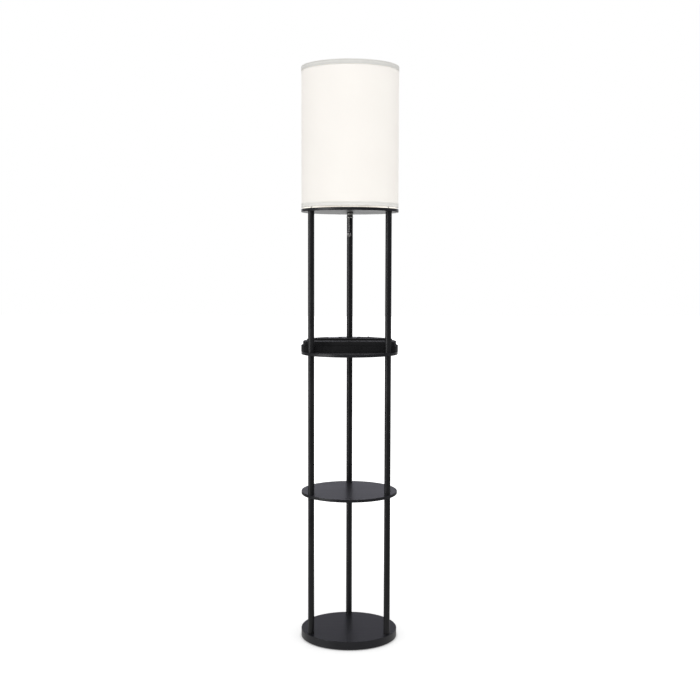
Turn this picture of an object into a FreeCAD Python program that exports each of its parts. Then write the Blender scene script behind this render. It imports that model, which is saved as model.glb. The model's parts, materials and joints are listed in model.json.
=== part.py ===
import FreeCAD, Part
import math
import os
import Sketcher

# Shelf floor lamp: a weighted round base, an open shelf and a power shelf on three
# tubular poles, and a lit drum shade on the top plate with a pull-chain switch below it.
# Origin: middle of the underside. +Z up, -Y is the front, lengths in millimetres.

doc = FreeCAD.newDocument("ShelfFloorLamp")
sizes = doc.addObject("Spreadsheet::Sheet", "sizes")

DIMENSIONS = [
    # boards and poles
    ("discRadius", 133.0, "round boards, 266 mm across"),
    ("boardThick", 8.0, "shelf, power shelf and top plate"),
    ("padThick", 2.0, "foam feet"),
    ("padRadius", 10.0, "foam feet"),
    ("padPitch", 112.0, "circle of the feet"),
    ("baseTop", 24.0, "upper face of the base above the floor"),
    ("rimRound", 0.9, "eased edge of every board"),
    ("poleLength", 380.0, "each of the three equal pole tiers"),
    ("poleRadius", 8.5, "tube, 17 mm across"),
    ("poleWall", 1.0, "tube wall"),
    ("pitchRadius", 120.0, "circle of the pole axes"),
    ("plugLength", 14.0, "threaded plug in each tube end"),
    ("plugBore", 4.7, "tapped bore of a plug"),
    ("studRadius", 4.6, "M10 hollow stud and base bolt"),
    ("studBore", 3.2, "way for the lead through a stud"),
    ("studReach", 12.0, "stud length inside each plug"),
    ("boardHole", 5.2, "stud hole in a board"),
    ("boltHeadRadius", 8.0, "base bolt and its counterbore"),
    ("boltHeadTall", 5.5, "base bolt head"),
    ("boltRecess", 7.0, "counterbore under the base"),
    ("hexSocket", 4.0, "corner radius of a bolt's hexagon socket"),
    ("headRadius", 9.0, "countersunk head of the top screws"),
    ("headTall", 4.4, "countersunk head of the top screws"),
    # power box
    ("boxRadius", 133.4, "rounded back of the power box"),
    ("boxFront", -48.0, "flat front of the power box, just behind the front poles"),
    ("boxWall", 2.4, "moulded wall"),
    ("boxFloor", 2.0, "moulded floor"),
    ("trayTall", 16.0, "lower half of the power box"),
    ("lidInset", 5.2, "how far the lid's upper wall stands in from the tray"),
    ("lidBand", 0.6, "upright band under the bevel"),
    ("lidBevel", 2.8, "height of the bevel"),
    ("lidTall", 12.2, "lid above the tray"),
    ("lidRound", 1.2, "eased top edge of the lid"),
    ("lipDrop", 3.0, "locating lip of the lid inside the tray"),
    ("lipThick", 2.0, "locating lip"),
    ("lipPlay", 0.25, "clearance of the lip in the tray"),
    ("insertPlay", 0.15, "clearance round the inserts"),
    ("panelRadius", 122.0, "raised outlet panel"),
    ("panelFront", 30.0, "straight front edge of the outlet panel"),
    ("panelThick", 4.0, "outlet panel above the lid"),
    ("panelRound", 0.8, "eased top edge of the outlet panel"),
    ("poleGap", 0.5, "clearance of the box round the rear pole"),
    ("bossRadius", 4.0, "screw posts in the tray"),
    ("screwRadius", 1.6, "box screws"),
    ("screwHead", 3.4, "box screws"),
    ("screwHeadTall", 1.8, "box screws"),
    ("postTall", 10.0, "screw posts in the tray"),
    ("boardPostRadius", 2.5, "circuit board posts"),
    ("boardPostTall", 1.5, "circuit board posts"),
    ("insertDrop", 14.0, "socket and charging inserts below the lid's top"),
    ("outletRadius", 17.0, "mains socket insert"),
    ("outletX", -46.0, "mains socket insert"),
    ("outletY", 80.0, "mains socket insert"),
    ("outletProud", 0.6, "mains socket above the panel"),
    ("bladeWide", 2.2, "blade slots"),
    ("bladeLong", 9.2, "neutral slot"),
    ("bladeShort", 7.6, "live slot"),
    ("bladeHalfPitch", 6.35, "half the distance between the blade slots"),
    ("bladeRise", 3.0, "blade slots behind the middle of the insert"),
    ("earthRadius", 2.6, "earth hole"),
    ("earthDrop", 8.5, "earth hole in front of the middle of the insert"),
    ("outletDepth", 11.0, "depth of the slots"),
    ("usbWide", 40.0, "charging insert"),
    ("usbDeep", 18.0, "charging insert"),
    ("usbY", 68.0, "charging insert"),
    ("usbProud", 0.5, "charging insert above the panel"),
    ("portWide", 13.2, "charging port"),
    ("portTall", 6.0, "charging port"),
    ("tongueWide", 11.0, "contact tongue in a port"),
    ("tongueTall", 1.9, "contact tongue in a port"),
    ("tongueRise", 1.1, "tongue behind the middle of its port"),
    ("portHalfPitch", 10.0, "half the distance between the ports"),
    ("portDepth", 10.0, "charging port"),
    ("rockerX", 57.0, "rocker switch"),
    ("rockerY", 88.0, "rocker switch"),
    ("rockerHalf", 6.1, "half length of the rocker"),
    ("rockerWide", 9.0, "rocker across its axle"),
    ("rockerRise", 2.6, "rocker's rims above its axle"),
    ("rockerTilt", 12.0, "tilt to each side, degrees"),
    ("frameLong", 17.0, "rocker frame"),
    ("frameWide", 14.0, "rocker frame"),
    ("frameLip", 1.2, "rocker frame above the panel"),
    ("frameRim", 1.2, "width of the lip beyond the frame's body"),
    ("frameRound", 0.5, "eased top edge of the rocker frame"),
    ("frameDrop", 12.0, "rocker frame below the lid's top"),
    ("wellEnd", 0.85, "room past each end of the rocker as it tips"),
    ("wellSide", 0.25, "room beside the rocker"),
    ("wellDepth", 9.0, "rocker well below the panel's underside"),
    ("axleRadius", 1.0, "rocker axle"),
    ("axleHalf", 5.3, "half length of the rocker axle"),
    ("axlePlay", 0.06, "running clearance of the axle"),
    ("rockerDeep", 3.0, "rocker below its axle"),
    ("rockerDish", 15.0, "radius of the rocker's hollow face"),
    ("lensX", 27.0, "pilot light"),
    ("lensY", 106.0, "pilot light"),
    ("lensRadius", 4.3, "pilot light"),
    ("lensDome", 1.0, "height of the lens's dome"),
    ("lensRim", 0.3, "edge of the lens"),
    ("lensDrop", 10.0, "pilot light below the lid's top"),
    ("circuitWide", 72.0, "circuit board"),
    ("circuitDeep", 58.0, "circuit board"),
    ("circuitY", 17.0, "circuit board"),
    ("circuitThick", 1.6, "circuit board"),
    ("glandX", 36.0, "cord inlet in the back of the tray"),
    ("glandRise", 8.2, "cord inlet above the shelf"),
    ("glandRadius", 4.6, "cord inlet"),
    ("glandBore", 3.0, "cord inlet"),
    # switch and chain
    ("bushRadius", 6.0, "threaded bush of the pull switch"),
    ("bushBore", 4.4, "way of the chain through the bush"),
    ("bushDrop", 8.0, "bush below the top plate"),
    ("blockWide", 22.0, "body of the pull switch"),
    ("blockDeep", 16.0, "body of the pull switch"),
    ("blockTall", 20.0, "body of the pull switch"),
    ("blockBore", 17.0, "depth of the chain's way above the top plate"),
    ("nutRadius", 8.2, "corner radius of the bush's nut"),
    ("nutTall", 3.6, "nut of the bush"),
    ("guideMouth", 9.7, "bell mouth of the chain guide"),
    ("guideTall", 10.6, "bell below the nut"),
    ("chainX", -2.6, "the chain hangs a little left of the axis"),
    ("beadRadius", 1.6, "hollow beads, 3.2 mm"),
    ("beadPitch", 4.2, "bead to bead"),
    ("linkRadius", 0.55, "pins between the beads"),
    ("hinge", 11.0, "free link of the chain below the top plate"),
    ("linkGap", 0.15, "half the play in the free link"),
    ("chainBeads", 10.0, "beads below the free link"),
    ("bobRadius", 5.3, "acorn pull"),
    ("bobTall", 13.6, "acorn pull"),
    # lampholder and bulb
    ("cupRadius", 22.0, "steel cup over the pull switch"),
    ("cupTall", 29.0, "steel cup"),
    ("cupWall", 1.0, "steel cup"),
    ("cupRound", 4.0, "outer corner of the cup"),
    ("cupHole", 5.2, "nipple hole in the cup"),
    ("leadHole", 2.8, "hole of the lead in the cup"),
    ("leadRise", 4.4, "hole of the lead above the top plate"),
    ("flangeRadius", 31.0, "foot of the cup"),
    ("flangeThick", 1.2, "foot of the cup"),
    ("flangeEdge", 4.5, "cup screws in from the flange's edge"),
    ("woodScrew", 1.2, "cup screws"),
    ("woodScrewHead", 2.9, "cup screws"),
    ("woodScrewDome", 1.8, "cup screws"),
    ("woodScrewDeep", 6.0, "cup screws in the plate"),
    ("nippleRadius", 4.9, "M10 nipple between cup and lampholder"),
    ("nippleNut", 8.0, "corner radius of the nipple's nuts"),
    ("nippleNutTall", 3.5, "nipple's nuts"),
    ("holderRadius", 17.2, "lampholder body"),
    ("seatRise", 75.5, "seat of the shade spider above the top plate"),
    ("bulbRadius", 30.0, "bulb, 60 mm"),
    # shade
    ("shadeRadius", 132.7, "outside of the edge tapes"),
    ("shadeGap", 3.3, "daylight between the top plate and the shade"),
    ("shadeTall", 378.7, "shade, edge to edge"),
    ("tapeThick", 0.45, "edge tape"),
    ("topTape", 14.0, "visible height of the upper tape"),
    ("bottomTape", 12.0, "visible height of the lower tape"),
    ("foldTape", 8.0, "tape turned inside"),
    ("clothThick", 0.5, "linen skin"),
    ("linerThick", 0.6, "stiff plastic lining"),
    ("ringWire", 1.5, "radius of the shade rings' wire"),
    ("armWire", 1.3, "radius of the spider arms' wire"),
]

for row, (alias, number, note) in enumerate(DIMENSIONS, start=1):
    sizes.set("A%d" % row, alias)
    sizes.set("B%d" % row, str(number))
    sizes.set("C%d" % row, note)
    sizes.setAlias("B%d" % row, alias)
doc.recompute()

# Heights of the boards, worked out from the dimensions above.
shelfBottom = "(sizes.baseTop + sizes.poleLength)"
shelfTop = "(%s + sizes.boardThick)" % shelfBottom
powerBottom = "(%s + sizes.poleLength)" % shelfTop
powerTop = "(%s + sizes.boardThick)" % powerBottom
plateBottom = "(%s + sizes.poleLength)" % powerTop
plateTop = "(%s + sizes.boardThick)" % plateBottom
trayTop = "(%s + sizes.trayTall)" % powerTop
lidTop = "(%s + sizes.lidTall)" % trayTop
panelTop = "(%s + sizes.panelThick)" % lidTop
shadeBottom = "(%s + sizes.shadeGap)" % plateTop
shadeTop = "(%s + sizes.shadeTall)" % shadeBottom
seatLevel = "(%s + sizes.seatRise)" % plateTop
freeLink = "(%s - sizes.hinge)" % plateBottom

OVER = 1.0  # how far a cut runs past the face it opens
POLE_ANGLES = {"rear": 90, "left": 210, "right": 330}

nodes = {}


def value(expression):
    return float(sizes.evalExpression(str(expression)))


# ---------------------------------------------------------------- sketch and feature helpers
def newBody(name):
    body = doc.addObject("PartDesign::Body", name)
    body.Label = name
    nodes[name] = body
    return body


def originFeature(body, role):
    for feature in body.Origin.OriginFeatures:
        if feature.Role == role:
            return feature
    raise ValueError(role)


def newSketch(body, plane="XY_Plane", height="0"):
    sketch = body.newObject("Sketcher::SketchObject", body.Name + "_sketch")
    sketch.AttachmentSupport = [(originFeature(body, plane), "")]
    sketch.MapMode = "FlatFace"
    sketch.setExpression(".AttachmentOffset.Base.z", height)
    return sketch


def bound(sketch, kind, edge, end, expression):
    # a distance from the sketch origin that follows the sheet
    number = sketch.addConstraint(Sketcher.Constraint(kind, -1, 1, edge, end, value(expression)))
    sketch.setExpression("Constraints[%d]" % number, str(expression))


def circle(sketch, radius, x="0", y="0"):
    centre = FreeCAD.Vector(value(x), value(y), 0)
    edge = sketch.addGeometry(Part.Circle(centre, FreeCAD.Vector(0, 0, 1), value(radius)), False)
    bound(sketch, "DistanceX", edge, 3, x)
    bound(sketch, "DistanceY", edge, 3, y)
    number = sketch.addConstraint(Sketcher.Constraint("Radius", edge, value(radius)))
    sketch.setExpression("Constraints[%d]" % number, str(radius))


def arcBetween(start, end, radius, turn):
    # the short arc from start to end: turn +1 goes anticlockwise, -1 clockwise
    chord = end - start
    sagitta = math.sqrt(max(radius ** 2 - (chord.Length / 2) ** 2, 0))
    left = FreeCAD.Vector(-chord.y, chord.x, 0).normalize()
    centre = (start + end) * 0.5 + left * sagitta * turn
    first, last = (start, end) if turn > 0 else (end, start)
    opening, closing = [math.atan2(point.y - centre.y, point.x - centre.x) for point in (first, last)]
    if closing <= opening:
        closing += 2 * math.pi
    return Part.ArcOfCircle(Part.Circle(centre, FreeCAD.Vector(0, 0, 1), radius), opening, closing)


def bendArc(sketch, edge, chord, point):
    # a half circle is fixed by its centre, any shorter arc by its radius
    if value(point[2]) * 2 - chord.Length > 1e-6:
        number = sketch.addConstraint(Sketcher.Constraint("Radius", edge, value(point[2])))
        sketch.setExpression("Constraints[%d]" % number, str(point[2]))
    elif abs(chord.x) > abs(chord.y):
        bound(sketch, "DistanceY", edge, 3, point[1])
    else:
        bound(sketch, "DistanceX", edge, 3, point[0])


def outline(sketch, points, offset="0"):
    # closed loop: (x, y) ends a straight edge, (x, y, radius, turn) ends an arc
    corners = [FreeCAD.Vector(value("%s + %s" % (offset, p[0])), value(p[1]), 0) for p in points]
    edges = []
    for index, point in enumerate(points):
        start, end = corners[index - 1], corners[index]
        if len(point) == 2:
            edges.append((sketch.addGeometry(Part.LineSegment(start, end), False), 1, 2))
            continue
        radius, turn = point[2], point[3]
        edge = sketch.addGeometry(arcBetween(start, end, value(radius), turn), False)
        ends = (1, 2) if turn > 0 else (2, 1)
        edges.append((edge,) + ends)
    for index, point in enumerate(points):
        edge, _, last = edges[index]
        following, first, _ = edges[(index + 1) % len(points)]
        sketch.addConstraint(Sketcher.Constraint("Coincident", edge, last, following, first))
        bound(sketch, "DistanceX", edge, last, "%s + %s" % (offset, point[0]))
        bound(sketch, "DistanceY", edge, last, point[1])
        if len(point) == 4:
            bendArc(sketch, edge, corners[index] - corners[index - 1], point)


def rectangle(sketch, wide, deep, x="0", y="0"):
    corners = [(-1, -1), (1, -1), (1, 1), (-1, 1)]
    outline(sketch, [("%s + %d * (%s) / 2" % (x, i, wide), "%s + %d * (%s) / 2" % (y, j, deep))
                     for i, j in corners])


def dShape(sketch, radius, front):
    # a disc cut off straight at y = front
    size, chord = value(radius), value(front)
    angle = math.asin(chord / size)
    whole = Part.Circle(FreeCAD.Vector(0, 0, 0), FreeCAD.Vector(0, 0, 1), size)
    arc = sketch.addGeometry(Part.ArcOfCircle(whole, angle, math.pi - angle), False)
    half = size * math.cos(angle)
    ends = [FreeCAD.Vector(side * half, chord, 0) for side in (-1, 1)]
    line = sketch.addGeometry(Part.LineSegment(*ends), False)
    sketch.addConstraint(Sketcher.Constraint("Coincident", arc, 3, -1, 1))
    sketch.addConstraint(Sketcher.Constraint("Coincident", arc, 2, line, 1))
    sketch.addConstraint(Sketcher.Constraint("Coincident", line, 2, arc, 1))
    sketch.addConstraint(Sketcher.Constraint("Horizontal", line))
    number = sketch.addConstraint(Sketcher.Constraint("Radius", arc, size))
    sketch.setExpression("Constraints[%d]" % number, radius)
    bound(sketch, "DistanceY", line, 1, front)


def pad(body, sketch, length, downward=False):
    feature = body.newObject("PartDesign::Pad", body.Name + "_pad")
    feature.Profile = sketch
    feature.Reversed = downward
    feature.setExpression("Length", str(length))
    doc.recompute()
    return feature


def pocket(body, sketch, depth, upward=False):
    before = body.Shape.Volume
    feature = body.newObject("PartDesign::Pocket", body.Name + "_pocket")
    feature.Profile = sketch
    feature.Reversed = upward
    feature.setExpression("Length", str(depth))
    doc.recompute()
    if body.Shape.Volume >= before:
        raise ValueError("a pocket of %s cuts nothing" % body.Name)
    return feature


def turn(body, points, kind="PartDesign::Revolution", plane="XZ_Plane", offset=None):
    # turn a profile round the lamp's axis, or round an upright axis at the given offset
    sketch = newSketch(body, plane)
    feature = body.newObject(kind, body.Name + "_turned")
    if offset is None:
        outline(sketch, points)
        axis = "V_Axis"
    else:
        low, high = (min(value(p[1]) for p in points), max(value(p[1]) for p in points))
        foot = FreeCAD.Vector(value(offset), low, 0)
        head = FreeCAD.Vector(value(offset), high, 0)
        line = sketch.addGeometry(Part.LineSegment(foot, head), True)
        bound(sketch, "DistanceX", line, 1, offset)
        sketch.addConstraint(Sketcher.Constraint("Vertical", line))
        outline(sketch, points, offset)
        axis = "Axis0"
    feature.Profile = sketch
    feature.ReferenceAxis = (sketch, [axis])
    feature.Angle = 360
    doc.recompute()
    return feature


def groove(body, points, plane="YZ_Plane", offset=None):
    before = body.Shape.Volume
    feature = turn(body, points, "PartDesign::Groove", plane, offset)
    if body.Shape.Volume >= before:
        raise ValueError("a groove of %s cuts nothing" % body.Name)
    return feature


def around(body, features, copies, angle=360):
    pattern = body.newObject("PartDesign::PolarPattern", body.Name + "_ring")
    pattern.Originals = features
    pattern.Axis = (originFeature(body, "Z_Axis"), [""])
    pattern.Angle = angle
    pattern.Occurrences = copies
    body.Tip = pattern
    doc.recompute()
    return pattern


def rimEdges(shape, radius, heights):
    # names of the circular edges of one radius at the given heights
    names = []
    for number, edge in enumerate(shape.Edges, start=1):
        arc = edge.Curve
        if not isinstance(arc, Part.Circle) or abs(arc.Radius - radius) > 1e-4:
            continue
        if any(abs(arc.Center.z - height) < 1e-4 for height in heights):
            names.append("Edge%d" % number)
    return names


def levelEdges(shape, height):
    return ["Edge%d" % number for number, edge in enumerate(shape.Edges, start=1)
            if abs(edge.BoundBox.ZMin - height) < 1e-4 and abs(edge.BoundBox.ZMax - height) < 1e-4]


def fillet(body, base, edges, radius):
    feature = body.newObject("PartDesign::Fillet", body.Name + "_fillet")
    feature.Base = (base, edges)
    feature.setExpression("Radius", str(radius))
    doc.recompute()
    return feature


def turnedPiece(name, points, plane="XZ_Plane", offset=None, copies=1):
    body = newBody(name)
    feature = turn(body, points, plane=plane, offset=offset)
    if copies > 1:
        around(body, [feature], copies)
    return body


def sleeve(outer, inner, low, high):
    return [(inner, low), (outer, low), (outer, high), (inner, high)]


def domeRadius(rim, rise):
    # radius of the ball whose cap has this rim radius and rise, centred on the axis
    return "((%s) ^ 2 + (%s) ^ 2) / (2 * (%s))" % (rim, rise, rise)


# ---------------------------------------------------------------- boards
def roundBoard(name, bottom, thickness):
    body = newBody(name)
    sketch = newSketch(body, height=bottom)
    circle(sketch, "sizes.discRadius")
    slab = pad(body, sketch, thickness)
    low = value(bottom)
    rims = rimEdges(slab.Shape, value("sizes.discRadius"), [low, low + value(thickness)])
    fillet(body, slab, rims, "sizes.rimRound")
    return body


def straightBore(radius, low, high):
    return [("0", "%s - %g" % (low, OVER)), (radius, "%s - %g" % (low, OVER)),
            (radius, "%s + %g" % (high, OVER)), ("0", "%s + %g" % (high, OVER))]


base = roundBoard("base_board", "sizes.padThick", "sizes.baseTop - sizes.padThick")
recessRadius = "(sizes.boltHeadRadius + 2)"
recessTop = "(sizes.padThick + sizes.boltRecess)"
baseBore = [("0", "sizes.padThick - 1"), (recessRadius, "sizes.padThick - 1"), (recessRadius, recessTop),
            ("sizes.boardHole", recessTop), ("sizes.boardHole", "sizes.baseTop + 1"),
            ("0", "sizes.baseTop + 1")]
around(base, [groove(base, baseBore, offset="sizes.pitchRadius")], 3)

turnedPiece("base_pads", [("0", "0"), ("sizes.padRadius - 0.6", "0"), ("sizes.padRadius", "0.6"),
                          ("sizes.padRadius", "sizes.padThick"), ("0", "sizes.padThick")],
            offset="sizes.padPitch", copies=6)

for boardName, boardBottom in (("shelf_board", shelfBottom), ("power_shelf_board", powerBottom)):
    board = roundBoard(boardName, boardBottom, "sizes.boardThick")
    bore = straightBore("sizes.boardHole", boardBottom, "%s + sizes.boardThick" % boardBottom)
    around(board, [groove(board, bore, offset="sizes.pitchRadius")], 3)

plate = roundBoard("top_plate", plateBottom, "sizes.boardThick")
countersink = [("0", "%s - 1" % plateBottom), ("sizes.boardHole", "%s - 1" % plateBottom),
               ("sizes.boardHole", "%s - sizes.headTall" % plateTop),
               ("sizes.headRadius + 0.2", plateTop), ("sizes.headRadius + 0.2", "%s + 1" % plateTop),
               ("0", "%s + 1" % plateTop)]
around(plate, [groove(plate, countersink, offset="sizes.pitchRadius")], 3)
groove(plate, straightBore("sizes.bushRadius + 0.3", plateBottom, plateTop))
screwRing = "(sizes.flangeRadius - sizes.flangeEdge)"
pilotFoot = "(%s - sizes.woodScrewDeep)" % plateTop
pilotHole = [("0", pilotFoot), ("sizes.woodScrew", pilotFoot), ("sizes.woodScrew", "%s + 1" % plateTop),
             ("0", "%s + 1" % plateTop)]
around(plate, [groove(plate, pilotHole, plane="XZ_Plane", offset=screwRing)], 3)

# ---------------------------------------------------------------- poles and their joints
TIERS = {"lower": "sizes.baseTop", "middle": shelfTop, "upper": powerTop}
for tier, foot in TIERS.items():
    for side, angle in POLE_ANGLES.items():
        tube = newBody("%s_pole_%s" % (tier, side))
        tube.setExpression(".Placement.Base.x", "sizes.pitchRadius * cos(%d deg)" % angle)
        tube.setExpression(".Placement.Base.y", "sizes.pitchRadius * sin(%d deg)" % angle)
        ring = newSketch(tube, height=foot)
        circle(ring, "sizes.poleRadius")
        circle(ring, "sizes.poleRadius - sizes.poleWall")
        pad(tube, ring, "sizes.poleLength")

# the lead enters the upper rear tube through a slot just above its lower plug
rearTube = nodes["upper_pole_rear"]
slotMiddle = "%s + sizes.plugLength + 7" % powerTop
slotSketch = newSketch(rearTube, plane="XZ_Plane")
outline(slotSketch, [("-3.5", "%s - 2.5" % slotMiddle), ("3.5", "%s - 2.5" % slotMiddle, "3.5", 1),
                     ("3.5", "%s + 2.5" % slotMiddle), ("-3.5", "%s + 2.5" % slotMiddle, "3.5", 1)])
pocket(rearTube, slotSketch, "sizes.poleRadius + 1", upward=True)

plugRadius = "(sizes.poleRadius - sizes.poleWall)"
for tier, foot in TIERS.items():
    plugs = newBody("%s_pole_plugs" % tier)
    head = "(%s + sizes.poleLength)" % foot
    pair = []
    for low, high in ((foot, "%s + sizes.plugLength" % foot), ("%s - sizes.plugLength" % head, head)):
        pair.append(turn(plugs, sleeve(plugRadius, "sizes.plugBore", low, high),
                         plane="YZ_Plane", offset="sizes.pitchRadius"))
    around(plugs, pair, 3)

for studName, boardBottom in (("lower_studs", shelfBottom), ("upper_studs", powerBottom)):
    low = "(%s - sizes.studReach)" % boardBottom
    high = "(%s + sizes.boardThick + sizes.studReach)" % boardBottom
    turnedPiece(studName, [("sizes.studBore", low), ("sizes.studRadius - 0.5", low),
                           ("sizes.studRadius", "%s + 0.5" % low), ("sizes.studRadius", "%s - 0.5" % high),
                           ("sizes.studRadius - 0.5", high), ("sizes.studBore", high)],
                plane="YZ_Plane", offset="sizes.pitchRadius", copies=3)

# base bolts: cylinder heads with hexagon sockets, let into the underside
bolts = newBody("base_bolts")
headTop = "(sizes.padThick + sizes.boltRecess)"
headLow = "(%s - sizes.boltHeadTall)" % headTop
boltEnd = "(sizes.baseTop + sizes.studReach)"
shank = turn(bolts, [("0", headLow), ("sizes.boltHeadRadius - 0.6", headLow),
                     ("sizes.boltHeadRadius", "%s + 0.6" % headLow), ("sizes.boltHeadRadius", headTop),
                     ("sizes.studRadius", headTop), ("sizes.studRadius", "%s - 0.8" % boltEnd),
                     ("sizes.studRadius - 0.8", boltEnd), ("0", boltEnd)],
             plane="YZ_Plane", offset="sizes.pitchRadius")
socketSketch = newSketch(bolts, height=headLow)
outline(socketSketch, [("sizes.hexSocket * cos(%d deg)" % a,
                        "sizes.pitchRadius + sizes.hexSocket * sin(%d deg)" % a) for a in range(0, 360, 60)])
hexagon = pocket(bolts, socketSketch, "sizes.boltHeadTall - 1.5", upward=True)
around(bolts, [shank, hexagon], 3)

# flush screws through the top plate: two solid at the front, a hollow one for the lead
def flushScrew(bore):
    tip = "(%s - sizes.studReach)" % plateBottom
    return [(bore, tip), ("sizes.studRadius", tip), ("sizes.studRadius", "%s - sizes.headTall" % plateTop),
            ("sizes.headRadius", "%s - 0.2" % plateTop), ("sizes.headRadius", plateTop), (bore, plateTop)]


flushScrews = newBody("top_screws")
screw = turn(flushScrews, flushScrew("0"), plane="YZ_Plane", offset="sizes.pitchRadius")
around(flushScrews, [screw], 2, angle=POLE_ANGLES["right"] - POLE_ANGLES["left"])
flushScrews.Placement.Rotation = FreeCAD.Rotation(FreeCAD.Vector(0, 0, 1), POLE_ANGLES["left"] - 90)
turnedPiece("lead_nipple", flushScrew("sizes.studBore"), plane="YZ_Plane", offset="sizes.pitchRadius")


# ---------------------------------------------------------------- power box
def poleSlot(body, top, depth):
    # the box slides on from the front, so the rear tube sits in a slot open at the back
    half = "(sizes.poleRadius + sizes.poleGap)"
    behind = "(sizes.boxRadius + %g)" % OVER
    sketch = newSketch(body, height=top)
    outline(sketch, [(half, behind), ("-1 * " + half, behind), ("-1 * " + half, "sizes.pitchRadius"),
                     (half, "sizes.pitchRadius", half, 1)])
    pocket(body, sketch, depth)


def insertHoles(body, top, depth):
    play = "sizes.insertPlay"
    sketch = newSketch(body, height=top)
    circle(sketch, "sizes.outletRadius + %s" % play, "sizes.outletX", "sizes.outletY")
    circle(sketch, "sizes.lensRadius - 0.5 + %s" % play, "sizes.lensX", "sizes.lensY")
    rectangle(sketch, "sizes.usbWide + 2 * %s" % play, "sizes.usbDeep + 2 * %s" % play, "0", "sizes.usbY")
    rectangle(sketch, "sizes.frameLong - 2 * sizes.frameRim + 2 * %s" % play,
              "sizes.frameWide - 2 * sizes.frameRim + 2 * %s" % play, "sizes.rockerX", "sizes.rockerY")
    pocket(body, sketch, depth)


BOX_SCREWS = [(-85, -20), (85, -20), (-72, 84), (78, 60)]
BOARD_POSTS = [(-32, -8), (32, -8), (-32, 42), (32, 42)]

tray = newBody("power_box_body")
trayOutline = newSketch(tray, height=powerTop)
dShape(trayOutline, "sizes.boxRadius", "sizes.boxFront")
pad(tray, trayOutline, "sizes.trayTall")
trayHollow = newSketch(tray, height=trayTop)
dShape(trayHollow, "sizes.boxRadius - sizes.boxWall", "sizes.boxFront + sizes.boxWall")
pocket(tray, trayHollow, "sizes.trayTall - sizes.boxFloor")
floorLevel = "(%s + sizes.boxFloor)" % powerTop
posts = newSketch(tray, height=floorLevel)
for x, y in BOX_SCREWS:
    circle(posts, "sizes.bossRadius", x, y)
pad(tray, posts, "sizes.postTall")
boardPosts = newSketch(tray, height=floorLevel)
for x, y in BOARD_POSTS:
    circle(boardPosts, "sizes.boardPostRadius", x, y)
pad(tray, boardPosts, "sizes.boardPostTall")
pilots = newSketch(tray, height=powerTop)
for x, y in BOX_SCREWS:
    circle(pilots, "sizes.screwRadius", x, y)
pocket(tray, pilots, "sizes.postTall + 1", upward=True)
poleHole = newSketch(tray, height=floorLevel)
circle(poleHole, "sizes.poleRadius + sizes.poleGap", "0", "sizes.pitchRadius")
pocket(tray, poleHole, "sizes.boxFloor")
inletHole = newSketch(tray, plane="XZ_Plane")
circle(inletHole, "sizes.glandRadius + 0.8", "sizes.glandX", "%s + sizes.glandRise" % powerTop)
pocket(tray, inletHole, "sizes.boxRadius")

lidRadius = "(sizes.boxRadius - sizes.lidInset)"
lidFront = "(sizes.boxFront + sizes.lidInset)"
lid = newBody("power_box_lid")
bandOutline = newSketch(lid, height=trayTop)
dShape(bandOutline, "sizes.boxRadius", "sizes.boxFront")
pad(lid, bandOutline, "sizes.lidBand")
bevelFoot = newSketch(lid, height="%s + sizes.lidBand" % trayTop)
dShape(bevelFoot, "sizes.boxRadius", "sizes.boxFront")
bevelLevel = "(%s + sizes.lidBand + sizes.lidBevel)" % trayTop
bevelHead = newSketch(lid, height=bevelLevel)
dShape(bevelHead, lidRadius, lidFront)
bevel = lid.newObject("PartDesign::AdditiveLoft", "lid_bevel")
bevel.Profile = bevelFoot
bevel.Sections = [bevelHead]
bevel.Ruled = True
doc.recompute()
crown = newSketch(lid, height=bevelLevel)
dShape(crown, lidRadius, lidFront)
crownPad = pad(lid, crown, "sizes.lidTall - sizes.lidBand - sizes.lidBevel")
fillet(lid, crownPad, levelEdges(crownPad.Shape, value(lidTop)), "sizes.lidRound")
lidHollow = newSketch(lid, height=trayTop)
dShape(lidHollow, "%s - sizes.boxWall" % lidRadius, "%s + sizes.boxWall" % lidFront)
pocket(lid, lidHollow, "sizes.lidTall - sizes.boxWall", upward=True)
lip = newSketch(lid, height=trayTop)
lipEdge = "sizes.boxWall + sizes.lipPlay"
dShape(lip, "sizes.boxRadius - (%s)" % lipEdge, "sizes.boxFront + %s" % lipEdge)
dShape(lip, "sizes.boxRadius - (%s + sizes.lipThick)" % lipEdge,
       "sizes.boxFront + %s + sizes.lipThick" % lipEdge)
pad(lid, lip, "sizes.lipDrop", downward=True)
poleSlot(lid, lidTop, "sizes.lidTall + sizes.lipDrop + 1")
insertHoles(lid, lidTop, "sizes.boxWall")

panel = newBody("outlet_panel")
panelOutline = newSketch(panel, height=lidTop)
dShape(panelOutline, "sizes.panelRadius", "sizes.panelFront")
panelPad = pad(panel, panelOutline, "sizes.panelThick")
fillet(panel, panelPad, levelEdges(panelPad.Shape, value(panelTop)), "sizes.panelRound")
poleSlot(panel, panelTop, "sizes.panelThick")
insertHoles(panel, panelTop, "sizes.panelThick")

outlet = newBody("mains_outlet")
outletFace = newSketch(outlet, height="%s - sizes.insertDrop" % lidTop)
circle(outletFace, "sizes.outletRadius", "sizes.outletX", "sizes.outletY")
pad(outlet, outletFace, "sizes.insertDrop + sizes.panelThick + sizes.outletProud")
slots = newSketch(outlet, height="%s + sizes.outletProud" % panelTop)
bladeY = "sizes.outletY + sizes.bladeRise"
rectangle(slots, "sizes.bladeWide", "sizes.bladeLong", "sizes.outletX - sizes.bladeHalfPitch", bladeY)
rectangle(slots, "sizes.bladeWide", "sizes.bladeShort", "sizes.outletX + sizes.bladeHalfPitch", bladeY)
circle(slots, "sizes.earthRadius", "sizes.outletX", "sizes.outletY - sizes.earthDrop")
pocket(outlet, slots, "sizes.outletDepth")

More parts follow.
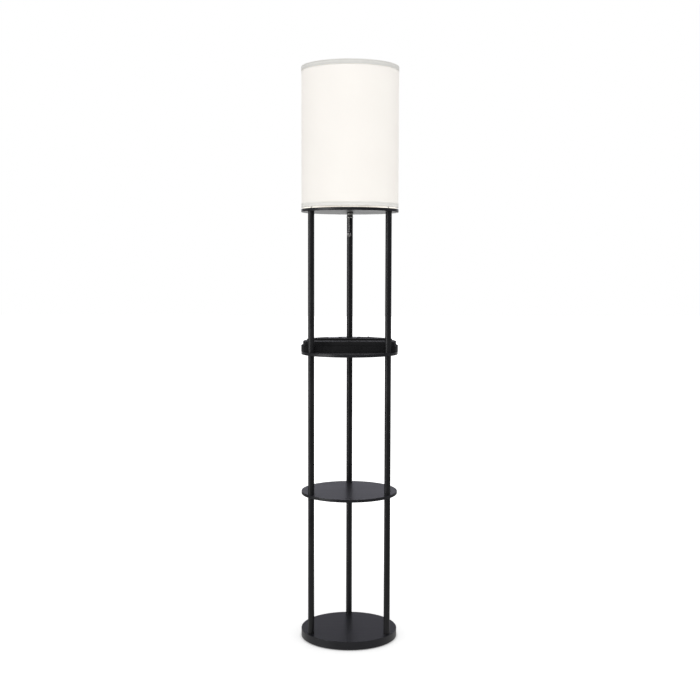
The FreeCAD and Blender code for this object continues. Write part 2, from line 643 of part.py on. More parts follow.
charger = newBody("usb_module")
chargerFace = newSketch(charger, height="%s - sizes.insertDrop" % lidTop)
rectangle(chargerFace, "sizes.usbWide", "sizes.usbDeep", "0", "sizes.usbY")
pad(charger, chargerFace, "sizes.insertDrop + sizes.panelThick + sizes.usbProud")
ports = newSketch(charger, height="%s + sizes.usbProud" % panelTop)
for x in ("-1 * sizes.portHalfPitch", "sizes.portHalfPitch"):
    rectangle(ports, "sizes.portWide", "sizes.portTall", x, "sizes.usbY")
    rectangle(ports, "sizes.tongueWide", "sizes.tongueTall", x, "sizes.usbY + sizes.tongueRise")
pocket(charger, ports, "sizes.portDepth")

frame = newBody("switch_frame")
frameBody = newSketch(frame, height="%s - sizes.frameDrop" % lidTop)
rectangle(frameBody, "sizes.frameLong - 2 * sizes.frameRim", "sizes.frameWide - 2 * sizes.frameRim",
          "sizes.rockerX", "sizes.rockerY")
pad(frame, frameBody, "sizes.frameDrop + sizes.panelThick")
frameLip = newSketch(frame, height=panelTop)
rectangle(frameLip, "sizes.frameLong", "sizes.frameWide", "sizes.rockerX", "sizes.rockerY")
lipPad = pad(frame, frameLip, "sizes.frameLip")
lipTop = "(%s + sizes.frameLip)" % panelTop
fillet(frame, lipPad, levelEdges(lipPad.Shape, value(lipTop)), "sizes.frameRound")
well = newSketch(frame, height=lipTop)
rectangle(well, "2 * (sizes.rockerHalf + sizes.wellEnd)", "sizes.rockerWide + 2 * sizes.wellSide",
          "sizes.rockerX", "sizes.rockerY")
pocket(frame, well, "sizes.frameLip + sizes.panelThick + sizes.wellDepth")
axleLevel = "(%s - 0.2)" % panelTop
boreHalf = "(sizes.axleHalf + 0.2)"
axleBores = newSketch(frame, plane="XZ_Plane", height="%s - sizes.rockerY" % boreHalf)
circle(axleBores, "sizes.axleRadius + sizes.axlePlay", "sizes.rockerX", axleLevel)
pocket(frame, axleBores, "2 * %s" % boreHalf)

rocker = newBody("switch_rocker")
rockerSide = newSketch(rocker, plane="XZ_Plane", height="-0.5 * sizes.rockerWide")
outline(rockerSide, [("-1 * sizes.rockerHalf", "-1 * sizes.rockerDeep"),
                     ("sizes.rockerHalf", "-1 * sizes.rockerDeep"),
                     ("sizes.rockerHalf", "sizes.rockerRise"),
                     ("-1 * sizes.rockerHalf", "sizes.rockerRise", "sizes.rockerDish", -1)])
pad(rocker, rockerSide, "sizes.rockerWide")
axle = newSketch(rocker, plane="XZ_Plane", height="-1 * sizes.axleHalf")
circle(axle, "sizes.axleRadius")
pad(rocker, axle, "2 * sizes.axleHalf")
rocker.Placement.Rotation = FreeCAD.Rotation(FreeCAD.Vector(0, 1, 0), value("sizes.rockerTilt"))
rocker.setExpression(".Placement.Base.x", "sizes.rockerX")
rocker.setExpression(".Placement.Base.y", "sizes.rockerY")
rocker.setExpression(".Placement.Base.z", axleLevel)

lensFoot = "(%s - sizes.lensDrop)" % lidTop
lensEdge = "(%s + sizes.lensRim)" % panelTop
lens = turnedPiece("pilot_lens", [("0", lensFoot), ("sizes.lensRadius - 0.5", lensFoot),
                                  ("sizes.lensRadius - 0.5", panelTop), ("sizes.lensRadius", panelTop),
                                  ("sizes.lensRadius", lensEdge),
                                  ("0", "%s + sizes.lensDome" % lensEdge,
                                   domeRadius("sizes.lensRadius", "sizes.lensDome"), 1)])
lens.setExpression(".Placement.Base.x", "sizes.lensX")
lens.setExpression(".Placement.Base.y", "sizes.lensY")

boardLevel = "(%s + sizes.boardPostTall)" % floorLevel
boardFace = "(%s + sizes.circuitThick)" % boardLevel
# parts on the circuit board: width, depth, middle and height
TERMINALS = (26, 10, 4, 34, 6)
TRANSFORMER = (16, 14, -20, 10, 12)
FILTER = (12, 8, 16, 0, 9)
CAPACITORS = [(0, 12), (26, 18)]
circuit = newBody("circuit_board")
boardOutline = newSketch(circuit, height=boardLevel)
rectangle(boardOutline, "sizes.circuitWide", "sizes.circuitDeep", "0", "sizes.circuitY")
pad(circuit, boardOutline, "sizes.circuitThick")
for wide, deep, x, y, tall in (TRANSFORMER, FILTER, TERMINALS):
    block = newSketch(circuit, height=boardFace)
    rectangle(block, wide, deep, x, y)
    pad(circuit, block, tall)
capacitors = newSketch(circuit, height=boardFace)
for x, y in CAPACITORS:
    circle(capacitors, "4", x, y)
pad(circuit, capacitors, "11")

boxScrews = newBody("box_screws")
screwHeads = newSketch(boxScrews, height="%s - sizes.screwHeadTall" % powerBottom)
screwShanks = newSketch(boxScrews, height=powerBottom)
boardHoles = newSketch(nodes["power_shelf_board"], height="%s - 1" % powerBottom)
for x, y in BOX_SCREWS:
    circle(screwHeads, "sizes.screwHead", x, y)
    circle(screwShanks, "sizes.screwRadius", x, y)
    circle(boardHoles, "sizes.screwRadius + 0.3", x, y)
pad(boxScrews, screwHeads, "sizes.screwHeadTall")
pad(boxScrews, screwShanks, "sizes.boardThick + sizes.postTall")
pocket(nodes["power_shelf_board"], boardHoles, "sizes.boardThick + 2", upward=True)

glandWall = "sizes.boxRadius"
glandEnd = "(%s - 6)" % glandWall
gland = turnedPiece("cord_inlet", [("sizes.glandBore", glandEnd), ("sizes.glandRadius", glandEnd),
                                   ("sizes.glandRadius", glandWall), ("sizes.glandRadius + 2.6", glandWall),
                                   ("sizes.glandRadius + 1.6", "%s + 1.5" % glandWall),
                                   ("sizes.glandBore", "%s + 1.5" % glandWall)])
glandAngle = math.degrees(math.asin(value("sizes.glandX") / value(glandWall)))
lieBack = FreeCAD.Rotation(FreeCAD.Vector(1, 0, 0), -90)
gland.Placement.Rotation = FreeCAD.Rotation(FreeCAD.Vector(0, 0, 1), -glandAngle).multiply(lieBack)
gland.setExpression(".Placement.Base.z", "%s + sizes.glandRise" % powerTop)

# ---------------------------------------------------------------- pull switch and its chain
switchBody = newBody("pull_switch")
switchBlock = newSketch(switchBody, height=plateTop)
rectangle(switchBlock, "sizes.blockWide", "sizes.blockDeep")
pad(switchBody, switchBlock, "sizes.blockTall")
bushFoot = "(%s - sizes.bushDrop)" % plateBottom
turn(switchBody, [("0", bushFoot), ("sizes.bushRadius - 0.6", bushFoot),
                  ("sizes.bushRadius", "%s + 0.6" % bushFoot), ("sizes.bushRadius", plateTop),
                  ("0", plateTop)])
groove(switchBody, [("0", "%s - 1" % bushFoot), ("sizes.bushBore", "%s - 1" % bushFoot),
                    ("sizes.bushBore", "%s + sizes.blockBore" % plateTop),
                    ("0", "%s + sizes.blockBore" % plateTop)])


def hexagonNut(body, corner, bore, low, tall):
    sketch = newSketch(body, height=low)
    outline(sketch, [("%s * cos(%d deg)" % (corner, a), "%s * sin(%d deg)" % (corner, a))
                     for a in range(0, 360, 60)])
    circle(sketch, bore)
    return pad(body, sketch, tall)


nutFoot = "(%s - sizes.nutTall)" % plateBottom
hexagonNut(newBody("switch_nut"), "sizes.nutRadius", "sizes.bushRadius", nutFoot, "sizes.nutTall")

mouthLevel = "(%s - sizes.guideTall)" % nutFoot
turnedPiece("chain_guide", [("sizes.bushRadius", nutFoot), ("sizes.bushRadius", "%s + 6.8" % mouthLevel),
                            ("sizes.guideMouth - 0.9", mouthLevel, "9.7", 1),
                            ("sizes.guideMouth", mouthLevel),
                            ("sizes.guideMouth", "%s + 0.9" % mouthLevel),
                            ("sizes.bushRadius + 1.3", "%s + 8.2" % mouthLevel, "12.3", -1),
                            ("sizes.bushRadius + 1.3", nutFoot)])


def ballChain(top, beads):
    # upright profile of hollow beads on their pins, from the top down and back along the axis
    half = "sqrt(sizes.beadRadius ^ 2 - sizes.linkRadius ^ 2)"
    points = [("0", top), ("sizes.linkRadius", top)]
    for level in beads:
        points.append(("sizes.linkRadius", "%s + %s" % (level, half)))
        points.append(("sizes.linkRadius", "%s - %s" % (level, half), "sizes.beadRadius", -1))
    return points


stemTop = "(%s + 12)" % plateTop
stemFoot = "(%s + sizes.linkGap)" % freeLink
stemBeads = ["(%s + sizes.beadPitch * %g)" % (freeLink, n + 0.5) for n in range(6, -1, -1)]
stem = turnedPiece("chain_stem", ballChain(stemTop, stemBeads)
                   + [("sizes.linkRadius", stemFoot), ("0", stemFoot)])

hangBeads = ["(%s - sizes.beadPitch * %g)" % (freeLink, n + 0.5)
             for n in range(int(value("sizes.chainBeads")))]
bobTop = "(%s - sizes.beadPitch * sizes.chainBeads)" % freeLink
hanging = turnedPiece("pull_chain", ballChain("(%s - sizes.linkGap)" % freeLink, hangBeads)
                      + [("sizes.linkRadius", bobTop), ("0", bobTop)])

bobFoot = "(%s - sizes.bobTall)" % bobTop
bob = turnedPiece("chain_bob", [("0", bobFoot), ("1", bobFoot),
                                ("sizes.bobRadius", "%s + 8" % bobFoot, "10", 1),
                                ("sizes.bobRadius", "%s + 9.2" % bobFoot),
                                ("1.9", "%s + 12.4" % bobFoot, "3.6", 1),
                                ("1.9", bobTop), ("0", bobTop)])
for piece in (stem, hanging, bob):
    piece.setExpression(".Placement.Base.x", "sizes.chainX")

# ---------------------------------------------------------------- cup, lampholder and bulb
cupTop = "(%s + sizes.cupTall)" % plateTop
flangeTop = "(%s + sizes.flangeThick)" % plateTop
cup = turnedPiece("switch_cup", [("sizes.cupRadius - sizes.cupWall", plateTop),
                                 ("sizes.flangeRadius", plateTop),
                                 ("sizes.flangeRadius", flangeTop), ("sizes.cupRadius", flangeTop),
                                 ("sizes.cupRadius", "%s - sizes.cupRound" % cupTop),
                                 ("sizes.cupRadius - sizes.cupRound", cupTop, "sizes.cupRound", 1),
                                 ("sizes.cupHole", cupTop), ("sizes.cupHole", "%s - sizes.cupWall" % cupTop),
                                 ("sizes.cupRadius - sizes.cupRound", "%s - sizes.cupWall" % cupTop),
                                 ("sizes.cupRadius - sizes.cupWall", "%s - sizes.cupRound" % cupTop,
                                  "sizes.cupRound - sizes.cupWall", -1)])
leadLevel = "(%s + sizes.leadRise)" % plateTop
leadHole = newSketch(cup, plane="XZ_Plane")
circle(leadHole, "sizes.leadHole", "0", leadLevel)
pocket(cup, leadHole, "sizes.cupRadius + 1")
screwBore = straightBore("sizes.woodScrew + 0.3", plateTop, flangeTop)
around(cup, [groove(cup, screwBore, "XZ_Plane", screwRing)], 3)

turnedPiece("cup_screws", [("0", pilotFoot), ("sizes.woodScrew", pilotFoot), ("sizes.woodScrew", flangeTop),
                           ("sizes.woodScrewHead", flangeTop),
                           ("0", "%s + sizes.woodScrewDome" % flangeTop,
                            domeRadius("sizes.woodScrewHead", "sizes.woodScrewDome"), 1)],
            offset=screwRing, copies=3)

turnedPiece("socket_nipple", sleeve("sizes.nippleRadius", "sizes.studBore",
                                    "%s - 8" % cupTop, "%s + 10" % cupTop))
nippleNuts = newBody("nipple_nuts")
lowerNut = "(%s - sizes.cupWall - sizes.nippleNutTall)" % cupTop
for nutLevel in (lowerNut, cupTop):
    hexagonNut(nippleNuts, "sizes.nippleNut", "sizes.nippleRadius", nutLevel, "sizes.nippleNutTall")

capFoot = "(%s + sizes.nippleNutTall)" % cupTop
capTop = "(%s + 20)" % capFoot
turnedPiece("holder_cap", [("5", capFoot), ("8.5", capFoot),
                           ("sizes.holderRadius", "%s + 10" % capFoot, "12", 1),
                           ("sizes.holderRadius", capTop), ("sizes.holderRadius - 1", capTop),
                           ("sizes.holderRadius - 1", "%s + 10.4" % capFoot),
                           ("8.1", "%s + 1" % capFoot, "11", -1),
                           ("5", "%s + 1" % capFoot)])

holderTop = "(%s + 19)" % seatLevel
holderBore = "(sizes.holderRadius - 1.8)"
threadRibs = []
for rib in range(5):
    low = "(%s + %g)" % (seatLevel, 2 + 3.2 * rib)
    threadRibs += [("sizes.holderRadius", low), ("sizes.holderRadius + 0.7", "%s + 0.7" % low),
                   ("sizes.holderRadius + 0.7", "%s + 1.2" % low), ("sizes.holderRadius", "%s + 1.9" % low)]
seatRadius = "(sizes.holderRadius + 3.3)"
turnedPiece("lampholder", [("0", capTop), ("sizes.holderRadius", capTop),
                           ("sizes.holderRadius", "%s - 4" % seatLevel), (seatRadius, "%s - 1.5" % seatLevel),
                           (seatRadius, seatLevel), ("sizes.holderRadius", seatLevel)] + threadRibs
            + [("sizes.holderRadius", holderTop), (holderBore, holderTop), (holderBore, "%s + 3" % capTop),
               ("0", "%s + 3" % capTop)])

bulbTip = "(%s + 6.2)" % capTop
turnedPiece("centre_contact", [("0", "%s + 3" % capTop), ("5", "%s + 3" % capTop), ("5", "%s + 3.5" % capTop),
                               ("2.2", "%s + 4" % capTop), ("1.8", "%s - 0.1" % bulbTip),
                               ("0", "%s - 0.1" % bulbTip)])
shellBore = "(sizes.holderRadius - 2.9)"
turnedPiece("screw_shell", sleeve(holderBore, shellBore, "%s + 3" % capTop, "%s + 29" % capTop))

# the bulb: screw base with rounded threads, ribbed housing and dome
threads = [("12.7", "%s + 6.5" % bulbTip)]
threads += [("12.7", "%s + %g" % (bulbTip, 9.5 + 3 * ridge), "1.9", 1) for ridge in range(6)]
turnedPiece("bulb_base", [("0", bulbTip), ("3.2", bulbTip), ("4.8", "%s + 1.6" % bulbTip),
                          ("9.8", "%s + 4" % bulbTip)]
            + threads + [("12.7", "%s + 26" % bulbTip), ("0", "%s + 26" % bulbTip)])
domeFoot = "(%s + 60)" % bulbTip
domeFootRadius = "27.4"
turnedPiece("bulb_housing", [("0", "%s + 26" % bulbTip), ("13.8", "%s + 26" % bulbTip),
                             ("14.6", "%s + 36.5" % bulbTip), ("23", "%s + 49" % bulbTip, "60", 1),
                             (domeFootRadius, domeFoot, "40", -1),
                             ("0", domeFoot)])
domeTop = "%s + sqrt(sizes.bulbRadius ^ 2 - %s ^ 2) + sizes.bulbRadius" % (domeFoot, domeFootRadius)
turnedPiece("bulb_dome", [("0", domeFoot), (domeFootRadius, domeFoot), ("0", domeTop, "sizes.bulbRadius", 1)])

# ---------------------------------------------------------------- shade
tapeInside = "(sizes.shadeRadius - sizes.tapeThick)"
clothInside = "(%s - sizes.clothThick)" % tapeInside
linerInside = "(%s - sizes.linerThick)" % clothInside
ringPitch = "(%s - sizes.ringWire)" % linerInside
foldRadius = "(%s - sizes.ringWire - sizes.tapeThick)" % ringPitch
skirtLow = "(%s + sizes.tapeThick)" % shadeBottom
skirtHigh = "(%s - sizes.tapeThick)" % shadeTop

turnedPiece("shade_liner", sleeve(clothInside, linerInside, skirtLow, skirtHigh))
turnedPiece("shade_cloth", sleeve(tapeInside, clothInside, skirtLow, skirtHigh))


def foldedTape(name, edge, inward, tall):
    # tape folded over the shade's edge and the wire ring behind it; inward points to the cloth
    def level(distance):
        return "%s + %d * (%s)" % (edge, inward, distance)

    corner = "1.3"
    points = [(tapeInside, level(tall)), ("sizes.shadeRadius", level(tall)),
              ("sizes.shadeRadius", level(corner)),
              ("sizes.shadeRadius - %s" % corner, level("0"), corner, -inward),
              ("%s + %s" % (foldRadius, corner), level("0")),
              (foldRadius, level(corner), corner, -inward), (foldRadius, level("sizes.foldTape")),
              ("%s + sizes.tapeThick" % foldRadius, level("sizes.foldTape")),
              ("%s + sizes.tapeThick" % foldRadius, level("sizes.tapeThick")),
              (tapeInside, level("sizes.tapeThick"))]
    return turnedPiece(name, points)


foldedTape("top_tape", shadeTop, -1, "sizes.topTape")
bottomTape = foldedTape("bottom_tape", shadeBottom, 1, "sizes.bottomTape")
armAngle = FreeCAD.Rotation(FreeCAD.Vector(0, 0, 1), 30)
notch = newSketch(bottomTape, plane="YZ_Plane")
outline(notch, [("-2.2", "%s + 0.1" % skirtLow), ("2.2", "%s + 0.1" % skirtLow),
                ("2.2", "%s + sizes.foldTape" % skirtLow), ("-2.2", "%s + sizes.foldTape" % skirtLow)])
around(bottomTape, [pocket(bottomTape, notch, "%s + sizes.tapeThick + 0.2" % foldRadius, upward=True)], 3)
bottomTape.Placement.Rotation = armAngle

topRing = doc.addObject("Part::Torus", "shade_top_ring")
topRing.Label = "shade_top_ring"
topRing.setExpression("Radius1", ringPitch)
topRing.setExpression("Radius2", "sizes.ringWire")
topRing.setExpression(".Placement.Base.z", "%s - sizes.ringWire" % skirtHigh)
nodes["shade_top_ring"] = topRing

# spider: a flat ring on the lampholder, three wire arms and the lower shade ring, welded
spider = newBody("shade_spider")
turn(spider, sleeve("sizes.holderRadius + 5.5", "sizes.holderRadius + 0.9",
                    seatLevel, "%s + 1.6" % seatLevel))
ringLevel = "(%s + sizes.ringWire)" % skirtLow
turn(spider, [("%s + sizes.ringWire" % ringPitch, ringLevel, "sizes.ringWire", 1),
              ("%s - sizes.ringWire" % ringPitch, ringLevel, "sizes.ringWire", 1)])
ARM_BEND = 14.0
armFoot = "sizes.holderRadius + 3.7"
armLevel = "(%s + 0.8)" % seatLevel
armPath = newSketch(spider, plane="XZ_Plane")
armPoints = [(armFoot, armLevel), ("sizes.holderRadius + 18", armLevel), (ringPitch, ringLevel)]
for start, end in zip(armPoints, armPoints[1:]):
    run = armPath.addGeometry(Part.LineSegment(FreeCAD.Vector(value(start[0]), value(start[1]), 0),
                                               FreeCAD.Vector(value(end[0]), value(end[1]), 0)), False)
    bound(armPath, "DistanceX", run, 2, end[0])
    bound(armPath, "DistanceY", run, 2, end[1])
armPath.addConstraint(Sketcher.Constraint("Coincident", 0, 2, 1, 1))
bound(armPath, "DistanceX", 0, 1, armFoot)
bound(armPath, "DistanceY", 0, 1, armLevel)
armPath.fillet(0, 2, ARM_BEND, True, True)
armSection = newSketch(spider, plane="YZ_Plane", height=armFoot)
circle(armSection, "sizes.armWire", "0", armLevel)
arm = spider.newObject("PartDesign::AdditivePipe", "spider_arm")
arm.Profile = armSection
arm.Spine = armPath
doc.recompute()
around(spider, [arm], 3)
spider.Placement.Rotation = armAngle

ringNutLow = "(%s + 1.6)" % seatLevel
turnedPiece("holder_ring", [("sizes.holderRadius + 0.9", ringNutLow),
                            ("sizes.holderRadius + 3.4", ringNutLow),
                            ("sizes.holderRadius + 3.4", "%s + 3.8" % ringNutLow),
                            ("sizes.holderRadius + 2.4", "%s + 5" % ringNutLow),
                            ("sizes.holderRadius + 0.9", "%s + 5" % ringNutLow)])


# ---------------------------------------------------------------- lead through the rear pole
def roundedWire(points, radii):
    # straight runs joined by tangent arcs, all in the plane of the rear pole
    edges = []
    here = points[0]
    for corner, following, radius in zip(points[1:], points[2:], radii):
        incoming = (corner - here).normalize()
        outgoing = (following - corner).normalize()
        bend = incoming.getAngle(outgoing)
        setback = radius * math.tan(bend / 2)
        arcStart = corner - incoming * setback
        arcEnd = corner + outgoing * setback
        inside = (outgoing - incoming).normalize()
        middle = corner + inside * (radius / math.cos(bend / 2) - radius)
        edges.append(Part.LineSegment(here, arcStart).toShape())
        edges.append(Part.Arc(arcStart, middle, arcEnd).toShape())
        print("lead bend radius %.1f mm, turn %.0f deg" % (radius, math.degrees(bend)))
        here = arcEnd
    edges.append(Part.LineSegment(here, points[-1]).toShape())
    return Part.Wire(edges)


# the lead leaves the terminals, passes under the charging insert and into the rear tube's
# slot, climbs the tube, then lies on the top plate up to the pull switch
leadRadius = 2.0
terminalBack = TERMINALS[3] + TERMINALS[1] / 2
terminalLevel = value(boardFace) + TERMINALS[4] / 2
slotLevel = value(slotMiddle) - 1.5
poleAxis = value("sizes.pitchRadius")
crossing = value(plateTop)
route = [(terminalBack, terminalLevel), (82, terminalLevel), (103, slotLevel), (poleAxis, slotLevel),
         (poleAxis, crossing + 11), (106, crossing + 11), (84, crossing + 2.4), (50, crossing + 2.3),
         (34, crossing + 3.6), (value("sizes.blockDeep / 2 + 0.1"), value(leadLevel))]
BENDS = [30.0, 12.0, 7.0, 8.0, 25.0, 50.0, 100.0, 100.0]
leadPath = roundedWire([FreeCAD.Vector(0, y, z) for y, z in route], BENDS)
mouth = FreeCAD.Vector(0, terminalBack, terminalLevel)
section = Part.Wire(Part.Circle(mouth, FreeCAD.Vector(0, 1, 0), leadRadius).toShape())
lead = doc.addObject("Part::Feature", "lamp_lead")
lead.Label = "lamp_lead"
lead.Shape = leadPath.makePipeShell([section], True, False)
nodes["lamp_lead"] = lead
ideal = math.pi * leadRadius ** 2 * leadPath.Length
print("lead %.0f mm long, volume %.0f, section times length %.0f"
      % (leadPath.Length, lead.Shape.Volume, ideal))

# ---------------------------------------------------------------- checks and export
doc.recompute()
for item in doc.Objects:
    if "Invalid" in item.State or "Error" in item.State:
        raise ValueError("%s did not build: %s" % (item.Name, item.State))

os.makedirs("parts", exist_ok=True)
for name, item in nodes.items():
    shape = item.Shape
    if shape.isNull() or not shape.isValid():
        raise ValueError("%s has no valid shape" % name)
    shape.exportStep("parts/%s.step" % item.Label)
    box = shape.BoundBox
    print("%-20s %2d solids  z %7.1f %7.1f  volume %10.0f"
          % (name, len(shape.Solids), box.ZMin, box.ZMax, shape.Volume))
print("%d nodes" % len(nodes))
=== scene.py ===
import json
import math

import bpy
from mathutils import Matrix, Vector


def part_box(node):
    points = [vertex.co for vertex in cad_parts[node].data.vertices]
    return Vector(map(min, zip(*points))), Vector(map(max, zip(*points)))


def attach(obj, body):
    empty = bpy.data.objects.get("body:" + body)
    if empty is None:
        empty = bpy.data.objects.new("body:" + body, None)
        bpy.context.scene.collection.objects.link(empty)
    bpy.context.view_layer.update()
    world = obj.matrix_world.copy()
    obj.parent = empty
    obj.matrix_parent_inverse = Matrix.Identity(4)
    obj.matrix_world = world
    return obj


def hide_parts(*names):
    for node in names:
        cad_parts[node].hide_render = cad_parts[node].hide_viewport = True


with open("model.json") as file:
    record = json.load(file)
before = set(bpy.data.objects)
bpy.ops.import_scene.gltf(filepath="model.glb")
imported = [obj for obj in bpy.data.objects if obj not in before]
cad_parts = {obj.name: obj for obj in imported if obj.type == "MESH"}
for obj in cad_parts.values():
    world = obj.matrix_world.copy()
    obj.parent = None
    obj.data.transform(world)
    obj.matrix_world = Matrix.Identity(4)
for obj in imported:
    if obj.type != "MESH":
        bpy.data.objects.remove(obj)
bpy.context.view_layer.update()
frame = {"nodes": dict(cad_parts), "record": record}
nodes = frame["nodes"]
print("frame loaded:", len(nodes), "nodes")


# sizes read from the frame, in metres
clothLow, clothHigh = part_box("shade_cloth")
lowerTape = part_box("bottom_tape")
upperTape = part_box("top_tape")
tapeThick = 0.00045
linenThick = 0.0004
linenRoom = 0.0005                           # what the linen takes between lining and tape
linenTrim = 0.0001                           # keeps its cut edges clear of the tapes' folds
tapeDepth = 0.005                            # from the tape's outer layer to the one behind the wire ring
shadeOutside = upperTape[1].x                # outside of the edge tapes
clothInside = shadeOutside - tapeThick - linenRoom   # inner face of the linen, on the lining

# the camera, solved on the photograph
cameraSetup = {
    "distance": 3.0597,        # in front of the lamp's axis
    "height": 1.0328,
    "pitchDown": 4.30,         # degrees
    "roll": 0.144,             # degrees
    "focalPixels": 1112.3,     # on a frame 700 pixels wide
    "frameWide": 700,
    "shiftPixels": 0.44,       # the lamp stands this far left of the middle
    "sensor": 36.0,            # millimetres
    "clip": (0.05, 60.0),
}


def makeCamera(setup):
    data = bpy.data.cameras.new("photoCamera")
    data.sensor_width = setup["sensor"]
    data.lens = setup["focalPixels"] / setup["frameWide"] * setup["sensor"]
    data.shift_x = setup["shiftPixels"] / setup["frameWide"]
    data.clip_start, data.clip_end = setup["clip"]
    camera = bpy.data.objects.new("photoCamera", data)
    bpy.context.scene.collection.objects.link(camera)
    pitch, roll = math.radians(setup["pitchDown"]), math.radians(setup["roll"])
    ahead = Vector((0, math.cos(pitch), -math.sin(pitch)))
    level = Vector((1, 0, 0))
    upright = Vector((0, math.sin(pitch), math.cos(pitch)))
    right = level * math.cos(roll) + upright * math.sin(roll)
    up = upright * math.cos(roll) - level * math.sin(roll)
    turned = Matrix((right, up, -ahead)).transposed().to_4x4()
    camera.matrix_world = Matrix.Translation((0, -setup["distance"], setup["height"])) @ turned
    bpy.context.scene.camera = camera


makeCamera(cameraSetup)
bpy.context.scene.view_settings.view_transform = "Standard"
print("camera set")


# the room: a white backdrop beyond the lamp, a dim studio behind the camera
stageSetup = {
    "floorSize": 40.0,
    "floorShade": 0.60,
    "floorNear": 0.58,         # what the camera's rays add to the floor near the lamp, short of white
    "floorFar": 1.0,           # and past the lamp's reach, where the floor is plain white
    "fade": (0.30, 1.30),      # metres from the axis over which it rises
    "contact": (0.122, 0.142),  # inside this the floor keeps its full shadow
    "footGloss": 0.55,         # the floor in reflections, round the base
    "nearGloss": 0.24,         # a step away from it
    "footFade": (0.25, 1.60),
    "farGloss": 1.1,           # and far behind the lamp
    "farFade": (0.9, 4.5),
    "roomColour": (1.0, 1.0, 1.0, 1),
    "roomStrength": 0.70,      # light that the room gives from the camera's side
    "rearStrength": 0.48,      # and from behind the lamp
    "roomTurn": (-0.6, 0.6),
    "backGloss": 1.0,          # the backdrop in reflections, at the horizon
    "highGloss": 0.02,         # and higher up
    "rise": (0.12, 0.30),      # how far above the horizon it dims
    "highColour": (0.97, 0.96, 1.12, 1),  # and turns a little cooler
    "turn": (0.78, 0.97),      # how far round from the side the backdrop begins
    "frontGloss": 0.27,        # the dim side of the studio in reflections
}
lampSetup = {
    # lights: whether a lamp gives diffuse light, and whether it shows in reflections
    "leftStrip": {"place": (-2.75, -1.6, 1.25), "aim": (0, 0, 0.95), "size": (0.9, 2.6), "power": 13},
    "leftGleam": {"place": (-2.75, -1.6, 1.25), "aim": (0, 0, 0.95), "size": (0.9, 2.6), "power": 105,
                  "lights": (False, True)},
    "rightStrip": {"place": (2.75, -1.6, 1.25), "aim": (0, 0, 0.95), "size": (1.6, 2.6), "power": 13,
                   "lights": (True, False)},
    "frontFill": {"place": (0.0, -4.2, 1.9), "aim": (0, 0, 1.2), "size": (2.4, 1.6), "power": 23,
                  "lights": (True, False)},
    "frontGleam": {"place": (-0.9, -3.4, 2.2), "aim": (0, 0, 1.1), "size": (0.4, 0.4), "power": 6,
                   "lights": (False, True)},
    "topBox": {"place": (0.3, 0.3, 3.8), "aim": (0, 0, 0.8), "size": (2.0, 2.0), "power": 14},
    "rearBox": {"place": (0.0, 2.2, 3.2), "aim": (0, 0, 0.8), "size": (1.8, 0.9), "power": 14},
}


class Nodes:
    # short calls that add nodes to a tree and join them
    def __init__(self, tree):
        self.tree, self.links = tree.nodes, tree.links

    def add(self, kind, values=None, **settings):
        node = self.tree.new(kind)
        for key, value in settings.items():
            setattr(node, key, value)
        for socket, value in (values or {}).items():
            if isinstance(value, bpy.types.NodeSocket):
                self.links.new(value, node.inputs[socket])
            else:
                node.inputs[socket].default_value = value
        return node

    def math(self, operation, *values):
        return self.add("ShaderNodeMath", dict(enumerate(values)), operation=operation).outputs[0]

    def span(self, value, low, high, fromLow=0.3, fromHigh=0.7, easing="LINEAR"):
        values = {"Value": value, "From Min": fromLow, "From Max": fromHigh, "To Min": low, "To Max": high}
        return self.add("ShaderNodeMapRange", values, interpolation_type=easing).outputs[0]

    def eased(self, value, limits, low=0.0, high=1.0):
        return self.span(value, low, high, *limits, easing="SMOOTHSTEP")

    def xyz(self, *values):
        return self.add("ShaderNodeCombineXYZ", dict(enumerate(values))).outputs[0]

    def parts(self, vector):
        return self.add("ShaderNodeSeparateXYZ", {0: vector}).outputs


class StageNodes(Nodes):
    # the room and the floor, which the camera, reflections and plain light see differently
    def __init__(self, tree):
        tree.nodes.clear()
        super().__init__(tree)
        path = self.add("ShaderNodeLightPath").outputs
        self.camera = path["Is Camera Ray"]
        self.reflected = self.math("MAXIMUM", path["Is Glossy Ray"], path["Is Transmission Ray"])

    def choose(self, plain, camera, reflected):
        others = self.math("MAXIMUM", self.camera, self.reflected)
        first = self.math("MULTIPLY", plain, self.math("SUBTRACT", 1.0, others))
        second = self.math("MULTIPLY", camera, self.camera)
        third = self.math("MULTIPLY", reflected, self.reflected)
        return self.math("ADD", self.math("ADD", first, second), third)


def makeRoom(setup):
    world = bpy.data.worlds.new("whiteRoom")
    world.use_nodes = True
    graph = StageNodes(world.node_tree)
    direction = graph.parts(graph.add("ShaderNodeTexCoord").outputs["Generated"])
    height = graph.eased(direction["Z"], setup["rise"], setup["backGloss"], setup["highGloss"])
    behind = graph.eased(direction["Y"], setup["turn"])
    bright = graph.math("MULTIPLY", height, behind)
    dim = graph.math("MULTIPLY", setup["frontGloss"], graph.math("SUBTRACT", 1.0, behind))
    plain = graph.eased(direction["Y"], setup["roomTurn"], setup["roomStrength"], setup["rearStrength"])
    strength = graph.choose(plain, 1.0, graph.math("ADD", bright, dim))
    above = graph.eased(direction["Z"], (0.0, setup["rise"][1] / 2))
    cool = graph.math("MULTIPLY", graph.reflected, above)
    both = {0: cool, 6: setup["roomColour"], 7: setup["highColour"]}   # factor and the two colours
    colour = graph.add("ShaderNodeMix", both, data_type="RGBA")
    light = graph.add("ShaderNodeBackground", {"Color": colour.outputs[2], "Strength": strength})
    graph.add("ShaderNodeOutputWorld", {"Surface": light.outputs[0]})
    bpy.context.scene.world = world


